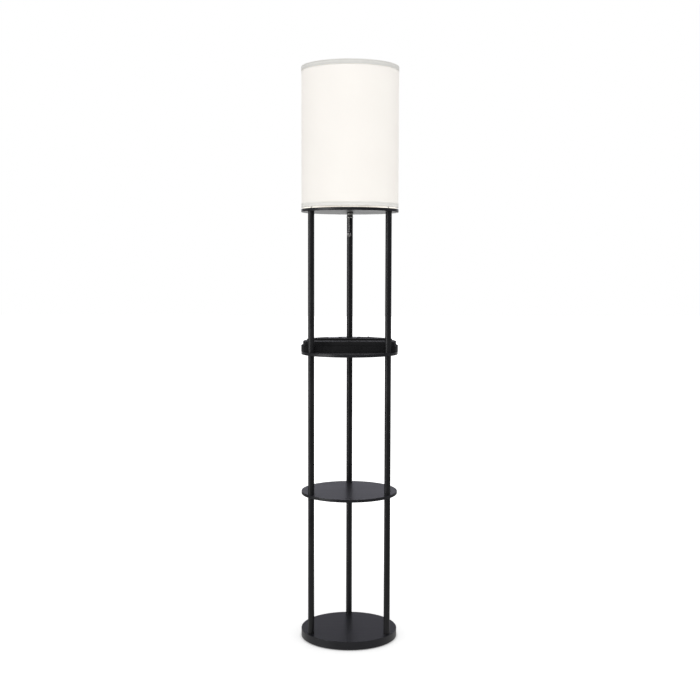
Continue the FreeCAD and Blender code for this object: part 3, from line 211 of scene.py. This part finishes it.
def makeFloor(setup):
    half = setup["floorSize"] / 2
    mesh = bpy.data.meshes.new("floor")
    corners = [(-half, -half, 0), (half, -half, 0), (half, half, 0), (-half, half, 0)]
    mesh.from_pydata(corners, [], [(0, 1, 2, 3)])
    floor = bpy.data.objects.new("floor", mesh)
    bpy.context.scene.collection.objects.link(floor)
    material = bpy.data.materials.new("paleFloor")
    material.use_nodes = True
    graph = StageNodes(material.node_tree)
    where = graph.add("ShaderNodeTexCoord").outputs["Object"]
    reach = graph.add("ShaderNodeVectorMath", {0: where}, operation="LENGTH").outputs["Value"]
    lift = graph.math("MULTIPLY", graph.eased(reach, setup["contact"]),
                      graph.eased(reach, setup["fade"], setup["floorNear"], setup["floorFar"]))
    foot = graph.eased(reach, setup["footFade"], setup["footGloss"], setup["nearGloss"])
    behind = graph.eased(graph.math("DIVIDE", graph.parts(where)["Y"], reach), setup["turn"])
    far = graph.math("MULTIPLY", behind, graph.eased(reach, setup["farFade"], 0.0, setup["farGloss"]))
    gloss = graph.math("MAXIMUM", foot, far)
    shade = graph.math("MULTIPLY", setup["floorShade"], graph.math("SUBTRACT", 1.0, graph.reflected))
    matt = graph.add("ShaderNodeBsdfDiffuse", {"Color": shade})
    seen = graph.choose(0.0, lift, gloss)
    glow = graph.add("ShaderNodeEmission", {"Color": setup["roomColour"], "Strength": seen})
    both = graph.add("ShaderNodeAddShader", {0: matt.outputs[0], 1: glow.outputs[0]})
    graph.add("ShaderNodeOutputMaterial", {"Surface": both.outputs[0]})
    mesh.materials.append(material)


def makeSoftbox(name, setup):
    data = bpy.data.lights.new(name, "AREA")
    data.shape = "RECTANGLE"
    data.size, data.size_y = setup["size"]
    data.energy = setup["power"]
    lamp = bpy.data.objects.new(name, data)
    bpy.context.scene.collection.objects.link(lamp)
    lamp.visible_diffuse, lamp.visible_glossy = setup.get("lights", (True, True))
    lamp.location = setup["place"]
    aim = Vector(setup["aim"]) - Vector(setup["place"])
    lamp.rotation_euler = aim.to_track_quat("-Z", "Y").to_euler()


makeRoom(stageSetup)
makeFloor(stageSetup)
for boxName, boxSetup in lampSetup.items():
    makeSoftbox(boxName, boxSetup)
print("stage and light set")


class Graph(Nodes):
    # a material's nodes
    def __init__(self, name, **values):
        self.material = bpy.data.materials.new(name)
        self.material.use_nodes = True
        super().__init__(self.material.node_tree)
        self.shader = self.tree["Principled BSDF"]
        for socket, value in values.items():
            self.shader.inputs[socket.replace("_", " ")].default_value = value

    def place(self, scale=(1, 1, 1), where=None):
        # Object coordinates, or other ones that are given, stretched
        where = where or self.add("ShaderNodeTexCoord").outputs["Object"]
        return self.add("ShaderNodeMapping", {"Vector": where, "Scale": scale}).outputs[0]

    def noise(self, where, scale, detail=3.0, rough=0.5):
        values = {"Vector": where, "Scale": scale, "Detail": detail, "Roughness": rough}
        return self.add("ShaderNodeTexNoise", values).outputs["Fac"]

    def mix(self, first, second, share):
        # the two added up, with this share of the second
        return self.math("ADD", self.math("MULTIPLY", first, 1 - share),
                         self.math("MULTIPLY", second, share))

    def ridges(self, length, pitch):
        waves = self.math("SINE", self.math("MULTIPLY", length, math.pi / pitch))
        return self.math("ABSOLUTE", waves)

    def colours(self, value, pair, limits=(0.35, 0.65)):
        # a ramp from the first colour of a pair to the second
        ramp = self.add("ShaderNodeValToRGB", {"Fac": value})
        for stop, position, colour in zip(ramp.color_ramp.elements, limits, pair):
            stop.position = position
            stop.color = (*colour, 1)
        return ramp.outputs["Color"]

    def finish(self, colour, rough, height, strength, distance):
        # distance is how deep the bump reads, in metres
        values = {"Height": height, "Strength": strength, "Distance": distance}
        bump = self.add("ShaderNodeBump", values)
        self.links.new(colour, self.shader.inputs["Base Color"])
        self.links.new(rough, self.shader.inputs["Roughness"])
        self.links.new(bump.outputs[0], self.shader.inputs["Normal"])
        return self.material


def around(colour, share):
    # a darker and a lighter neighbour of a colour
    return [tuple(min(c * k, 1) for c in colour) for k in (1 - share, 1 + share)]


boardSetup = {
    "colour": (0.0092, 0.0092, 0.0120),
    "variation": 0.30,
    "rough": (0.30, 0.40),
    "level": 0.34,             # specular level
    "grain": (7, 260, 260),    # waves to the metre along and across the grain
    "pores": (60, 1500, 1500),
    "poreDepth": 0.5,
    "cloud": 9,
    "cloudShare": 0.3,
    "bump": 0.18,
    "bumpHeight": 0.00008,
}


def boardFinish(name, setup):
    # satin black foil with a fine pressed grain running left to right
    graph = Graph(name, IOR=1.5, Specular_IOR_Level=setup["level"])
    grain = graph.noise(graph.place(setup["grain"]), scale=1, detail=6, rough=0.6)
    pores = graph.noise(graph.place(setup["pores"]), scale=1, detail=3, rough=0.6)
    cloud = graph.noise(graph.place(), setup["cloud"])
    tone = graph.mix(grain, cloud, setup["cloudShare"])
    height = graph.math("ADD", grain, graph.math("MULTIPLY", pores, setup["poreDepth"]))
    return graph.finish(graph.colours(tone, around(setup["colour"], setup["variation"])),
                        graph.span(tone, *setup["rough"]), height, setup["bump"], setup["bumpHeight"])


def coatFinish(name, colour, rough=(0.28, 0.38), peel=900, strength=0.10):
    # sprayed powder: orange peel, faint colour drift
    graph = Graph(name, IOR=1.5, Specular_IOR_Level=0.26)
    where = graph.place()
    skin = graph.noise(where, peel, detail=2)
    drift = graph.noise(where, scale=14, detail=4)
    return graph.finish(graph.colours(drift, around(colour, share=0.22)),
                        graph.span(drift, *rough), skin, strength, distance=0.00006)


def mouldFinish(name, colour, rough=(0.52, 0.66), grain=2200, strength=0.3, level=0.22):
    # moulded plastic with a fine eroded grain
    graph = Graph(name, IOR=1.46, Specular_IOR_Level=level)
    where = graph.place()
    pits = graph.add("ShaderNodeTexVoronoi", {"Vector": where, "Scale": grain}).outputs["Distance"]
    drift = graph.noise(where, scale=22, detail=4)
    return graph.finish(graph.colours(drift, around(colour, share=0.2)),
                        graph.span(drift, *rough), pits, strength, distance=0.00005)


def glossFinish(name, colour, rough=(0.08, 0.2), **extra):
    # polished moulding with faint handling marks
    graph = Graph(name, IOR=1.49, **extra)
    where = graph.place()
    marks = graph.noise(where, scale=120, detail=5, rough=0.65)
    ripple = graph.noise(where, scale=60, detail=1)
    return graph.finish(graph.colours(marks, around(colour, share=0.12), limits=(0.3, 0.7)),
                        graph.span(marks, *rough), ripple, strength=0.05, distance=0.0002)


def metalFinish(name, colour, rough=(0.1, 0.24), brush=(1, 1, 1), grain=700, strength=0.08):
    # plated metal: brushed or blotched by the stretch of its grain
    graph = Graph(name, Metallic=1.0)
    fine = graph.noise(graph.place(brush), grain, detail=4, rough=0.6)
    cloud = graph.noise(graph.place(), scale=90, detail=4)
    return graph.finish(graph.colours(cloud, around(colour, share=0.1), limits=(0.3, 0.7)),
                        graph.span(fine, *rough), fine, strength, distance=0.00004)


def rubberFinish(name, colour, cell=1400, rough=(0.75, 0.9)):
    # closed-cell foam or moulded rubber
    graph = Graph(name, IOR=1.5)
    where = graph.place()
    cells = graph.add("ShaderNodeTexVoronoi", {"Vector": where, "Scale": cell}).outputs["Distance"]
    return graph.finish(graph.colours(cells, around(colour, share=0.35), limits=(0.0, 0.6)),
                        graph.span(cells, *rough, fromLow=0.0), cells, strength=0.5, distance=0.0002)


def paleFinish(name, colour, rough=(0.4, 0.55), **extra):
    # white moulded, coated and opal pieces
    graph = Graph(name, IOR=1.47, **extra)
    where = graph.place()
    drift = graph.noise(where, scale=30, detail=4)
    skin = graph.noise(where, scale=1300, detail=2)
    return graph.finish(graph.colours(drift, around(colour, share=0.03)),
                        graph.span(drift, *rough), skin, strength=0.12, distance=0.00005)


def circuitFinish(name, colour, trackColour, rough=(0.3, 0.45)):
    # green board with paler tracks between its parts
    graph = Graph(name, IOR=1.5)
    values = {"Vector": graph.place(), "Scale": 160, "Mortar Size": 0.03}
    tracks = graph.add("ShaderNodeTexBrick", values).outputs["Fac"]
    rough = graph.span(tracks, *rough, fromLow=0, fromHigh=1)
    return graph.finish(graph.colours(tracks, (colour, trackColour), limits=(0.1, 0.9)),
                        rough, tracks, strength=0.3, distance=0.0001)


def weaveHeight(graph, where, setup):
    # plain weave on a UV map in metres: threads pass over and under each other
    pitch = setup["thread"]
    wander = graph.noise(graph.place(setup["bends"], where), scale=1)
    shift = graph.math("MULTIPLY", graph.math("SUBTRACT", wander, 0.5), pitch * setup["bendShare"])
    waves = []
    for run in graph.parts(where)[:2]:
        turn = graph.math("MULTIPLY", graph.math("ADD", run, shift), math.pi / pitch)
        waves.append(graph.math("SINE", turn))
    warp, weft = [graph.math("ABSOLUTE", wave) for wave in waves]
    over = graph.math("MULTIPLY_ADD", graph.math("MULTIPLY", *waves), 0.5, 0.5)
    return graph.add("ShaderNodeMix", {0: over, 2: warp, 3: weft}).outputs[0]


def linenFinish(name, colour, setup):
    graph = Graph(name, IOR=1.45, Sheen_Weight=0.12, Sheen_Roughness=0.5,
                  Emission_Color=setup["glowColour"], Emission_Strength=setup["glow"])
    where = graph.add("ShaderNodeTexCoord").outputs["UV"]
    weave = weaveHeight(graph, where, setup)
    across, upright, cloud = [graph.noise(graph.place(stretch, where), scale=1, detail=3, rough=0.6)
                              for stretch in (setup["slubsAcross"], setup["slubsUp"], setup["cloud"])]
    slubs = graph.math("ADD", across, upright)
    tone = graph.mix(graph.math("SUBTRACT", slubs, 0.5), cloud, setup["cloudShare"])
    height = graph.math("ADD", weave, graph.math("MULTIPLY", slubs, setup["slubDepth"]))
    return graph.finish(graph.colours(tone, around(colour, setup["variation"])),
                        graph.span(tone, *setup["rough"]), height, setup["bump"], setup["bumpHeight"])


def tapeFinish(name, colour, box, setup):
    # grosgrain: close upright ribs, and two lines along the tape, darker and lower
    graph = Graph(name, IOR=1.45, Sheen_Weight=0.05, Sheen_Roughness=0.5,
                  Emission_Color=setup["glowColour"])
    where = graph.add("ShaderNodeTexCoord").outputs["UV"]
    run, along = graph.parts(where)[:2]
    fold = box[1].z - box[0].z + setup["inside"]
    glow = graph.eased(along, (fold, fold + setup["insideFade"]), setup["glow"], setup["insideGlow"])
    graph.links.new(glow, graph.shader.inputs["Emission Strength"])
    ribs = graph.ridges(run, setup["rib"])
    picks = graph.ridges(along, setup["pick"])
    cloud = graph.noise(graph.place(setup["cloud"], where), scale=1, detail=4)
    tone = graph.mix(ribs, cloud, setup["cloudShare"])
    height = graph.math("ADD", ribs, graph.math("MULTIPLY", picks, setup["pickDepth"]))
    for line in setup["lines"]:
        off = graph.math("ABSOLUTE", graph.math("SUBTRACT", along, line))
        close = graph.eased(off, (0.0, setup["lineWide"]), setup["lineDepth"], 0.0)
        tone, height = graph.math("SUBTRACT", tone, close), graph.math("SUBTRACT", height, close)
    return graph.finish(graph.colours(tone, around(colour, setup["variation"]), limits=(0.15, 0.75)),
                        graph.span(tone, *setup["rough"]), height, setup["bump"], setup["bumpHeight"])


clothSetup = {
    "thread": 0.00075,         # thread pitch of the linen
    "bends": (130, 130, 1),    # how often the threads bend, to the metre
    "bendShare": 1.1,          # and how far, in thread pitches
    "slubsAcross": (55, 1500, 1),  # long thick places in the threads that run across
    "slubsUp": (1500, 55, 1),  # and in those that run up
    "slubDepth": 0.7,
    "cloud": (14, 14, 1),
    "cloudShare": 0.55,
    "variation": 0.035,
    "rough": (0.82, 0.95),
    "bump": 0.35,
    "bumpHeight": 0.0002,
    "glow": 0.245,             # the lit bulb seen through lining and cloth
    "glowColour": (1.0, 0.91, 0.81, 1),
    "sizes": {
        "Radius": clothInside + linenThick / 2,
        "Low": clothLow.z + linenTrim,
        "High": clothHigh.z - linenTrim,
        "Thickness": linenThick,
        "Lap": 0.012,          # glued seam at the back
        "Lap Lift": 0.0004,
        "Edge Wander": 0.0,    # how far the cut edge wanders
        "Wander Rate": 61.0,   # and how often, in radians to the metre
        "Columns": 193,        # points round the drum
        "Rows": 25,            # and up it
    },
}
tapeSetup = {
    "rib": 0.0009,             # pitch of the upright ribs
    "pick": 0.0006,            # and of the threads that cross them
    "pickDepth": 0.25,
    "cloud": (40, 200, 1),
    "cloudShare": 0.65,
    "variation": 0.08,
    "rough": (0.75, 0.92),
    "bump": 0.5,
    "bumpHeight": 0.00025,
    "lines": (0.0042, 0.0112),  # from the cut edge
    "lineWide": 0.0011,
    "lineDepth": 0.5,
    "glow": 0.09,              # the same light through the upper tape
    "lowerGlow": 0.17,         # the lower tape is nearer to the bulb
    "insideGlow": 0.45,        # the part folded inside faces the bulb
    "lowerInsideGlow": 0.90,
    "inside": 0.0004,          # it begins this far past the edge
    "insideFade": 0.0015,
    "glowColour": (1.0, 0.95, 0.88, 1),
    "sizes": {
        "Radius": shadeOutside,
        "Outside": shadeOutside - tapeThick / 2,
        "Inside": shadeOutside - tapeThick / 2 - tapeDepth,
        "Fold": 0.008,         # how far the inner end reaches past the edge
        "Corner": 0.0012,
        "Thickness": tapeThick,
        "Lap": 0.010,          # lapped end at the back
        "Lap Lift": 0.0005,
        "Edge Wander": 0.00012,
        "Wander Rate": 61.0,
        "Columns": 193,
        "Rows": 33,
    },
}

finishes = {
    "black_board": boardFinish("blackBoard", boardSetup),
    "black_steel": coatFinish("blackSteel", (0.0105, 0.0105, 0.0115)),
    "foam": rubberFinish("blackFoam", (0.025, 0.025, 0.025)),
    "zinc_steel": metalFinish("zincSteel", (0.62, 0.63, 0.64), rough=(0.28, 0.42), grain=400),
    "black_screw": coatFinish("blackScrew", (0.02, 0.02, 0.02), rough=(0.3, 0.42), peel=1500),
    "black_moulding": mouldFinish("blackMoulding", (0.012, 0.012, 0.013), level=0.16),
    "black_panel": mouldFinish("blackPanel", (0.012, 0.012, 0.013), rough=(0.5, 0.62), grain=3000,
                               strength=0.15, level=0.12),
    "black_gloss": glossFinish("blackGloss", (0.008, 0.008, 0.008)),
    "smoked_lens": glossFinish("smokedLens", (0.018, 0.006, 0.006), rough=(0.04, 0.12), Coat_Weight=0.3),
    "circuit_green": circuitFinish("circuitGreen", (0.012, 0.10, 0.045), (0.06, 0.22, 0.10)),
    "black_rubber": rubberFinish("blackRubber", (0.016, 0.016, 0.016), cell=2600, rough=(0.6, 0.75)),
    "dark_nut": metalFinish("darkNut", (0.09, 0.09, 0.095), rough=(0.3, 0.45), grain=500),
    # painted light: the guide and stem's nickel is paler than the same nickel on the chain and bob
    "nickel": metalFinish("litNickel", (0.92, 0.89, 0.85), rough=(0.13, 0.21), strength=0.03),
    "nickel_satin": metalFinish("satinNickel", (0.70, 0.69, 0.66), rough=(0.24, 0.36), brush=(1, 1, 12)),
    "phenolic": mouldFinish("blackPhenolic", (0.028, 0.026, 0.025), rough=(0.3, 0.45), grain=900,
                            strength=0.15),
    "brass": metalFinish("brass", (0.75, 0.56, 0.28), rough=(0.16, 0.3)),
    "bulb_white": paleFinish("bulbHousing", (0.84, 0.84, 0.82)),
    "bulb_dome": paleFinish("opalDome", (0.86, 0.85, 0.82), rough=(0.3, 0.4),
                            Emission_Color=(1.0, 0.90, 0.76, 1), Emission_Strength=0.30),
    # painted glow: the lining shines as if lit by the bulb inside it, though it is no lamp
    "shade_liner": paleFinish("glowPaintedLining", (0.84, 0.83, 0.81), rough=(0.35, 0.5),
                              Emission_Color=(1.0, 0.93, 0.83, 1), Emission_Strength=0.25),
    "white_steel": paleFinish("whiteSteel", (0.72, 0.72, 0.71), rough=(0.3, 0.45)),
    "lead_white": paleFinish("leadSheath", (0.78, 0.78, 0.76)),
    "linen": linenFinish("whiteLinen", (0.90, 0.885, 0.855), clothSetup),
    "edge_tape": tapeFinish("edgeTape", (0.76, 0.755, 0.725), upperTape, tapeSetup),
}
# painted light: the lower tape is a paler copy of the same edge tape, with a stronger glow, as it sits
# nearer the bulb
lowerGlows = {"glow": tapeSetup["lowerGlow"], "insideGlow": tapeSetup["lowerInsideGlow"]}
litLowerTapeFinish = tapeFinish("lowerEdgeTape", (0.79, 0.785, 0.755), lowerTape,
                             {**tapeSetup, **lowerGlows})
ownFinish = {
    "mains_outlet": glossFinish("outletInsert", (0.016, 0.016, 0.017), rough=(0.16, 0.28)),
    "usb_module": glossFinish("chargingInsert", (0.016, 0.016, 0.017), rough=(0.16, 0.28)),
    # painted glow: the cup shines as if lit by the bulb just above it, though it is no lamp
    "switch_cup": paleFinish("paintedLitCup", (0.72, 0.72, 0.71), rough=(0.3, 0.45),
                             Emission_Color=(1.0, 0.93, 0.83, 1), Emission_Strength=0.45),
    # painted shade: chain and bob are darker copies of the same nickel, the bob darkest
    "pull_chain": metalFinish("shadedChainNickel", (0.70, 0.69, 0.66), rough=(0.1, 0.22), grain=1500),
    "chain_bob": metalFinish("shadedBobNickel", (0.43, 0.42, 0.41), rough=(0.12, 0.24), grain=1100),
}
slotOf = {part["node"]: part["material_slot"] for part in frame["record"]["subparts"]}
for nodeName, node in nodes.items():
    for place in node.material_slots:
        place.material = ownFinish.get(nodeName, finishes[slotOf[nodeName]])
print("finishes on", len(nodes), "nodes")


class Shaper(Nodes):
    # a Geometry Nodes tree with named inputs for its sizes
    def __init__(self, name, sizes):
        self.group = bpy.data.node_groups.new(name, "GeometryNodeTree")
        super().__init__(self.group)
        self.sizes = sizes
        for label, value in sizes.items():
            kind = "NodeSocketInt" if isinstance(value, int) else "NodeSocketFloat"
            self.group.interface.new_socket(label, in_out="INPUT", socket_type=kind)
        self.group.interface.new_socket("Mesh", in_out="OUTPUT", socket_type="NodeSocketGeometry")
        self.given = self.tree.new("NodeGroupInput").outputs

    def piece(self, name, shape, material, body="root"):
        # ends the tree, runs it once and keeps the result as a plain mesh that rides on a body
        real = self.add("GeometryNodeRealizeInstances", {"Geometry": shape})
        painted = self.add("GeometryNodeSetMaterial", {"Geometry": real.outputs[0], "Material": material})
        self.add("NodeGroupOutput", {"Mesh": painted.outputs[0]})
        made = bpy.data.objects.new(name, bpy.data.meshes.new(name))
        bpy.context.scene.collection.objects.link(made)
        shaping = made.modifiers.new("shape", "NODES")
        shaping.node_group = self.group
        for item in self.group.interface.items_tree:
            if item.in_out == "INPUT":
                shaping[item.identifier] = self.sizes[item.name]
        evaluated = made.evaluated_get(bpy.context.evaluated_depsgraph_get())
        mesh = bpy.data.meshes.new_from_object(evaluated)
        made.modifiers.remove(shaping)
        made.data = mesh
        mesh.shade_smooth()
        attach(made, body)
        return made

    def line(self, corners, rounding=None, cornerPoints=6):
        # a section line through its corners, given as distance from the axis and height
        count = len(corners)
        points = self.add("GeometryNodeMeshLine", {"Count": count})
        curve = self.add("GeometryNodeMeshToCurve", {"Mesh": points.outputs[0]})
        which = self.add("GeometryNodeIndexSwitch", data_type="VECTOR")
        while len(which.index_switch_items) < count:
            which.index_switch_items.new()
        self.links.new(self.add("GeometryNodeInputIndex").outputs[0], which.inputs["Index"])
        for number, corner in enumerate(corners):
            self.links.new(self.xyz(*corner, 0.0), which.inputs[str(number)])
        placed = {"Geometry": curve.outputs[0], "Position": which.outputs[0]}
        moved = self.add("GeometryNodeSetPosition", placed)
        if not rounding:
            return moved.outputs[0]
        values = {"Curve": moved.outputs[0], "Count": cornerPoints, "Radius": rounding,
                  "Limit Radius": True}
        return self.add("GeometryNodeFilletCurve", values, mode="POLY").outputs[0]

    def bentStrip(self, section, side):
        # a flat strip bent round the lamp's axis along a section line
        # its end laps over its start at the back
        given = self.given
        lapRamp = 1.6          # how many laps before the strip's end its lift begins
        edgeReach = 0.0001     # how near to the cut edge a point wanders with it
        around = self.math("MULTIPLY_ADD", given["Radius"], 2 * math.pi, given["Lap"])
        tall = self.add("GeometryNodeCurveLength", {"Curve": section}).outputs[0]
        flat = self.add("GeometryNodeMeshGrid", {"Size X": around, "Size Y": tall,
                                                 "Vertices X": given["Columns"],
                                                 "Vertices Y": given["Rows"]})
        across, up = self.parts(self.add("GeometryNodeInputPosition").outputs[0])[:2]
        run = self.math("MULTIPLY_ADD", around, 0.5, across)
        along = self.math("MULTIPLY_ADD", tall, 0.5, up)
        marked = self.add("GeometryNodeStoreNamedAttribute", data_type="FLOAT2", domain="CORNER")
        self.links.new(flat.outputs["Mesh"], marked.inputs["Geometry"])
        marked.inputs["Name"].default_value = "UVMap"
        self.links.new(self.xyz(run, along, 0.0), marked.inputs["Value"])
        found = self.add("GeometryNodeSampleCurve", mode="LENGTH")
        self.links.new(section, found.inputs["Curves"])
        self.links.new(along, found.inputs["Length"])
        away, level = self.parts(found.outputs["Position"])[:2]
        outward, upward = self.parts(found.outputs["Tangent"])[:2]
        lapStart = self.math("MULTIPLY_ADD", given["Lap"], -lapRamp, around)
        lapEnd = self.math("SUBTRACT", around, given["Lap"])
        rise = self.eased(run, (lapStart, lapEnd), 0.0, given["Lap Lift"])
        lift = self.math("MULTIPLY", rise, side)
        atEdge = self.math("LESS_THAN", along, edgeReach)
        wave = self.math("SINE", self.math("MULTIPLY", run, given["Wander Rate"]))
        wander = self.math("MULTIPLY", self.math("MULTIPLY", wave, given["Edge Wander"]), atEdge)
        away = self.math("MULTIPLY_ADD", upward, lift, away)
        level = self.math("SUBTRACT", level, self.math("MULTIPLY", outward, lift))
        level = self.math("ADD", level, wander)
        angle = self.math("ADD", self.math("DIVIDE", run, given["Radius"]), math.pi / 2)
        place = self.xyz(self.math("MULTIPLY", away, self.math("COSINE", angle)),
                         self.math("MULTIPLY", away, self.math("SINE", angle)), level)
        bent = self.add("GeometryNodeSetPosition", {"Geometry": marked.outputs[0], "Position": place})
        return bent.outputs[0]


def flatSize(piece):
    # the cut size of a strip, read from its UV map in metres
    spots = [spot.uv for spot in piece.data.uv_layers[0].data]
    return [max(spot[axis] for spot in spots) - min(spot[axis] for spot in spots) for axis in (0, 1)]


def declareStrip(piece, node, thickness):
    thicken = piece.modifiers.new("thickness", "SOLIDIFY")
    thicken.thickness, thicken.offset = thickness, 0
    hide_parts(node)
    print(piece.name, "cut to", [round(size, 4) for size in flatSize(piece)])


def makeCloth(setup):
    # one strip of linen bent to a drum
    shaper = Shaper("linenDrum", setup["sizes"])
    given = shaper.given
    section = shaper.line([(given["Radius"], given["Low"]), (given["Radius"], given["High"])])
    cloth = shaper.piece("shadeLinen", shaper.bentStrip(section, 1.0), finishes["linen"])
    declareStrip(cloth, "shade_cloth", setup["sizes"]["Thickness"])


def makeTape(name, node, material, edge, inward, setup):
    # tape along the outside, over the edge and back behind the wire ring
    # inward is the way from the edge to the cloth, 1 up or -1 down
    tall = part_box(node)[1].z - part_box(node)[0].z
    sizes = dict(setup["sizes"])
    sizes["Edge"] = edge + inward * sizes["Thickness"] / 2
    sizes["Cut"] = edge + inward * tall
    shaper = Shaper(name + "Shape", sizes)
    given = shaper.given
    far = shaper.math("MULTIPLY_ADD", given["Fold"], inward, given["Edge"])
    section = shaper.line([(given["Outside"], given["Cut"]), (given["Outside"], given["Edge"]),
                           (given["Inside"], given["Edge"]), (given["Inside"], far)], given["Corner"])
    shape = shaper.bentStrip(section, -inward)
    if inward > 0:
        shape = shaper.add("GeometryNodeFlipFaces", {"Mesh": shape}).outputs[0]
    tape = shaper.piece(name, shape, material)
    declareStrip(tape, node, sizes["Thickness"])


makeCloth(clothSetup)
makeTape("upperEdgeTape", "top_tape", finishes["edge_tape"], upperTape[1].z, -1.0, tapeSetup)
makeTape("lowerEdgeTape", "bottom_tape", litLowerTapeFinish, lowerTape[0].z, 1.0, tapeSetup)
print("shade dressed")
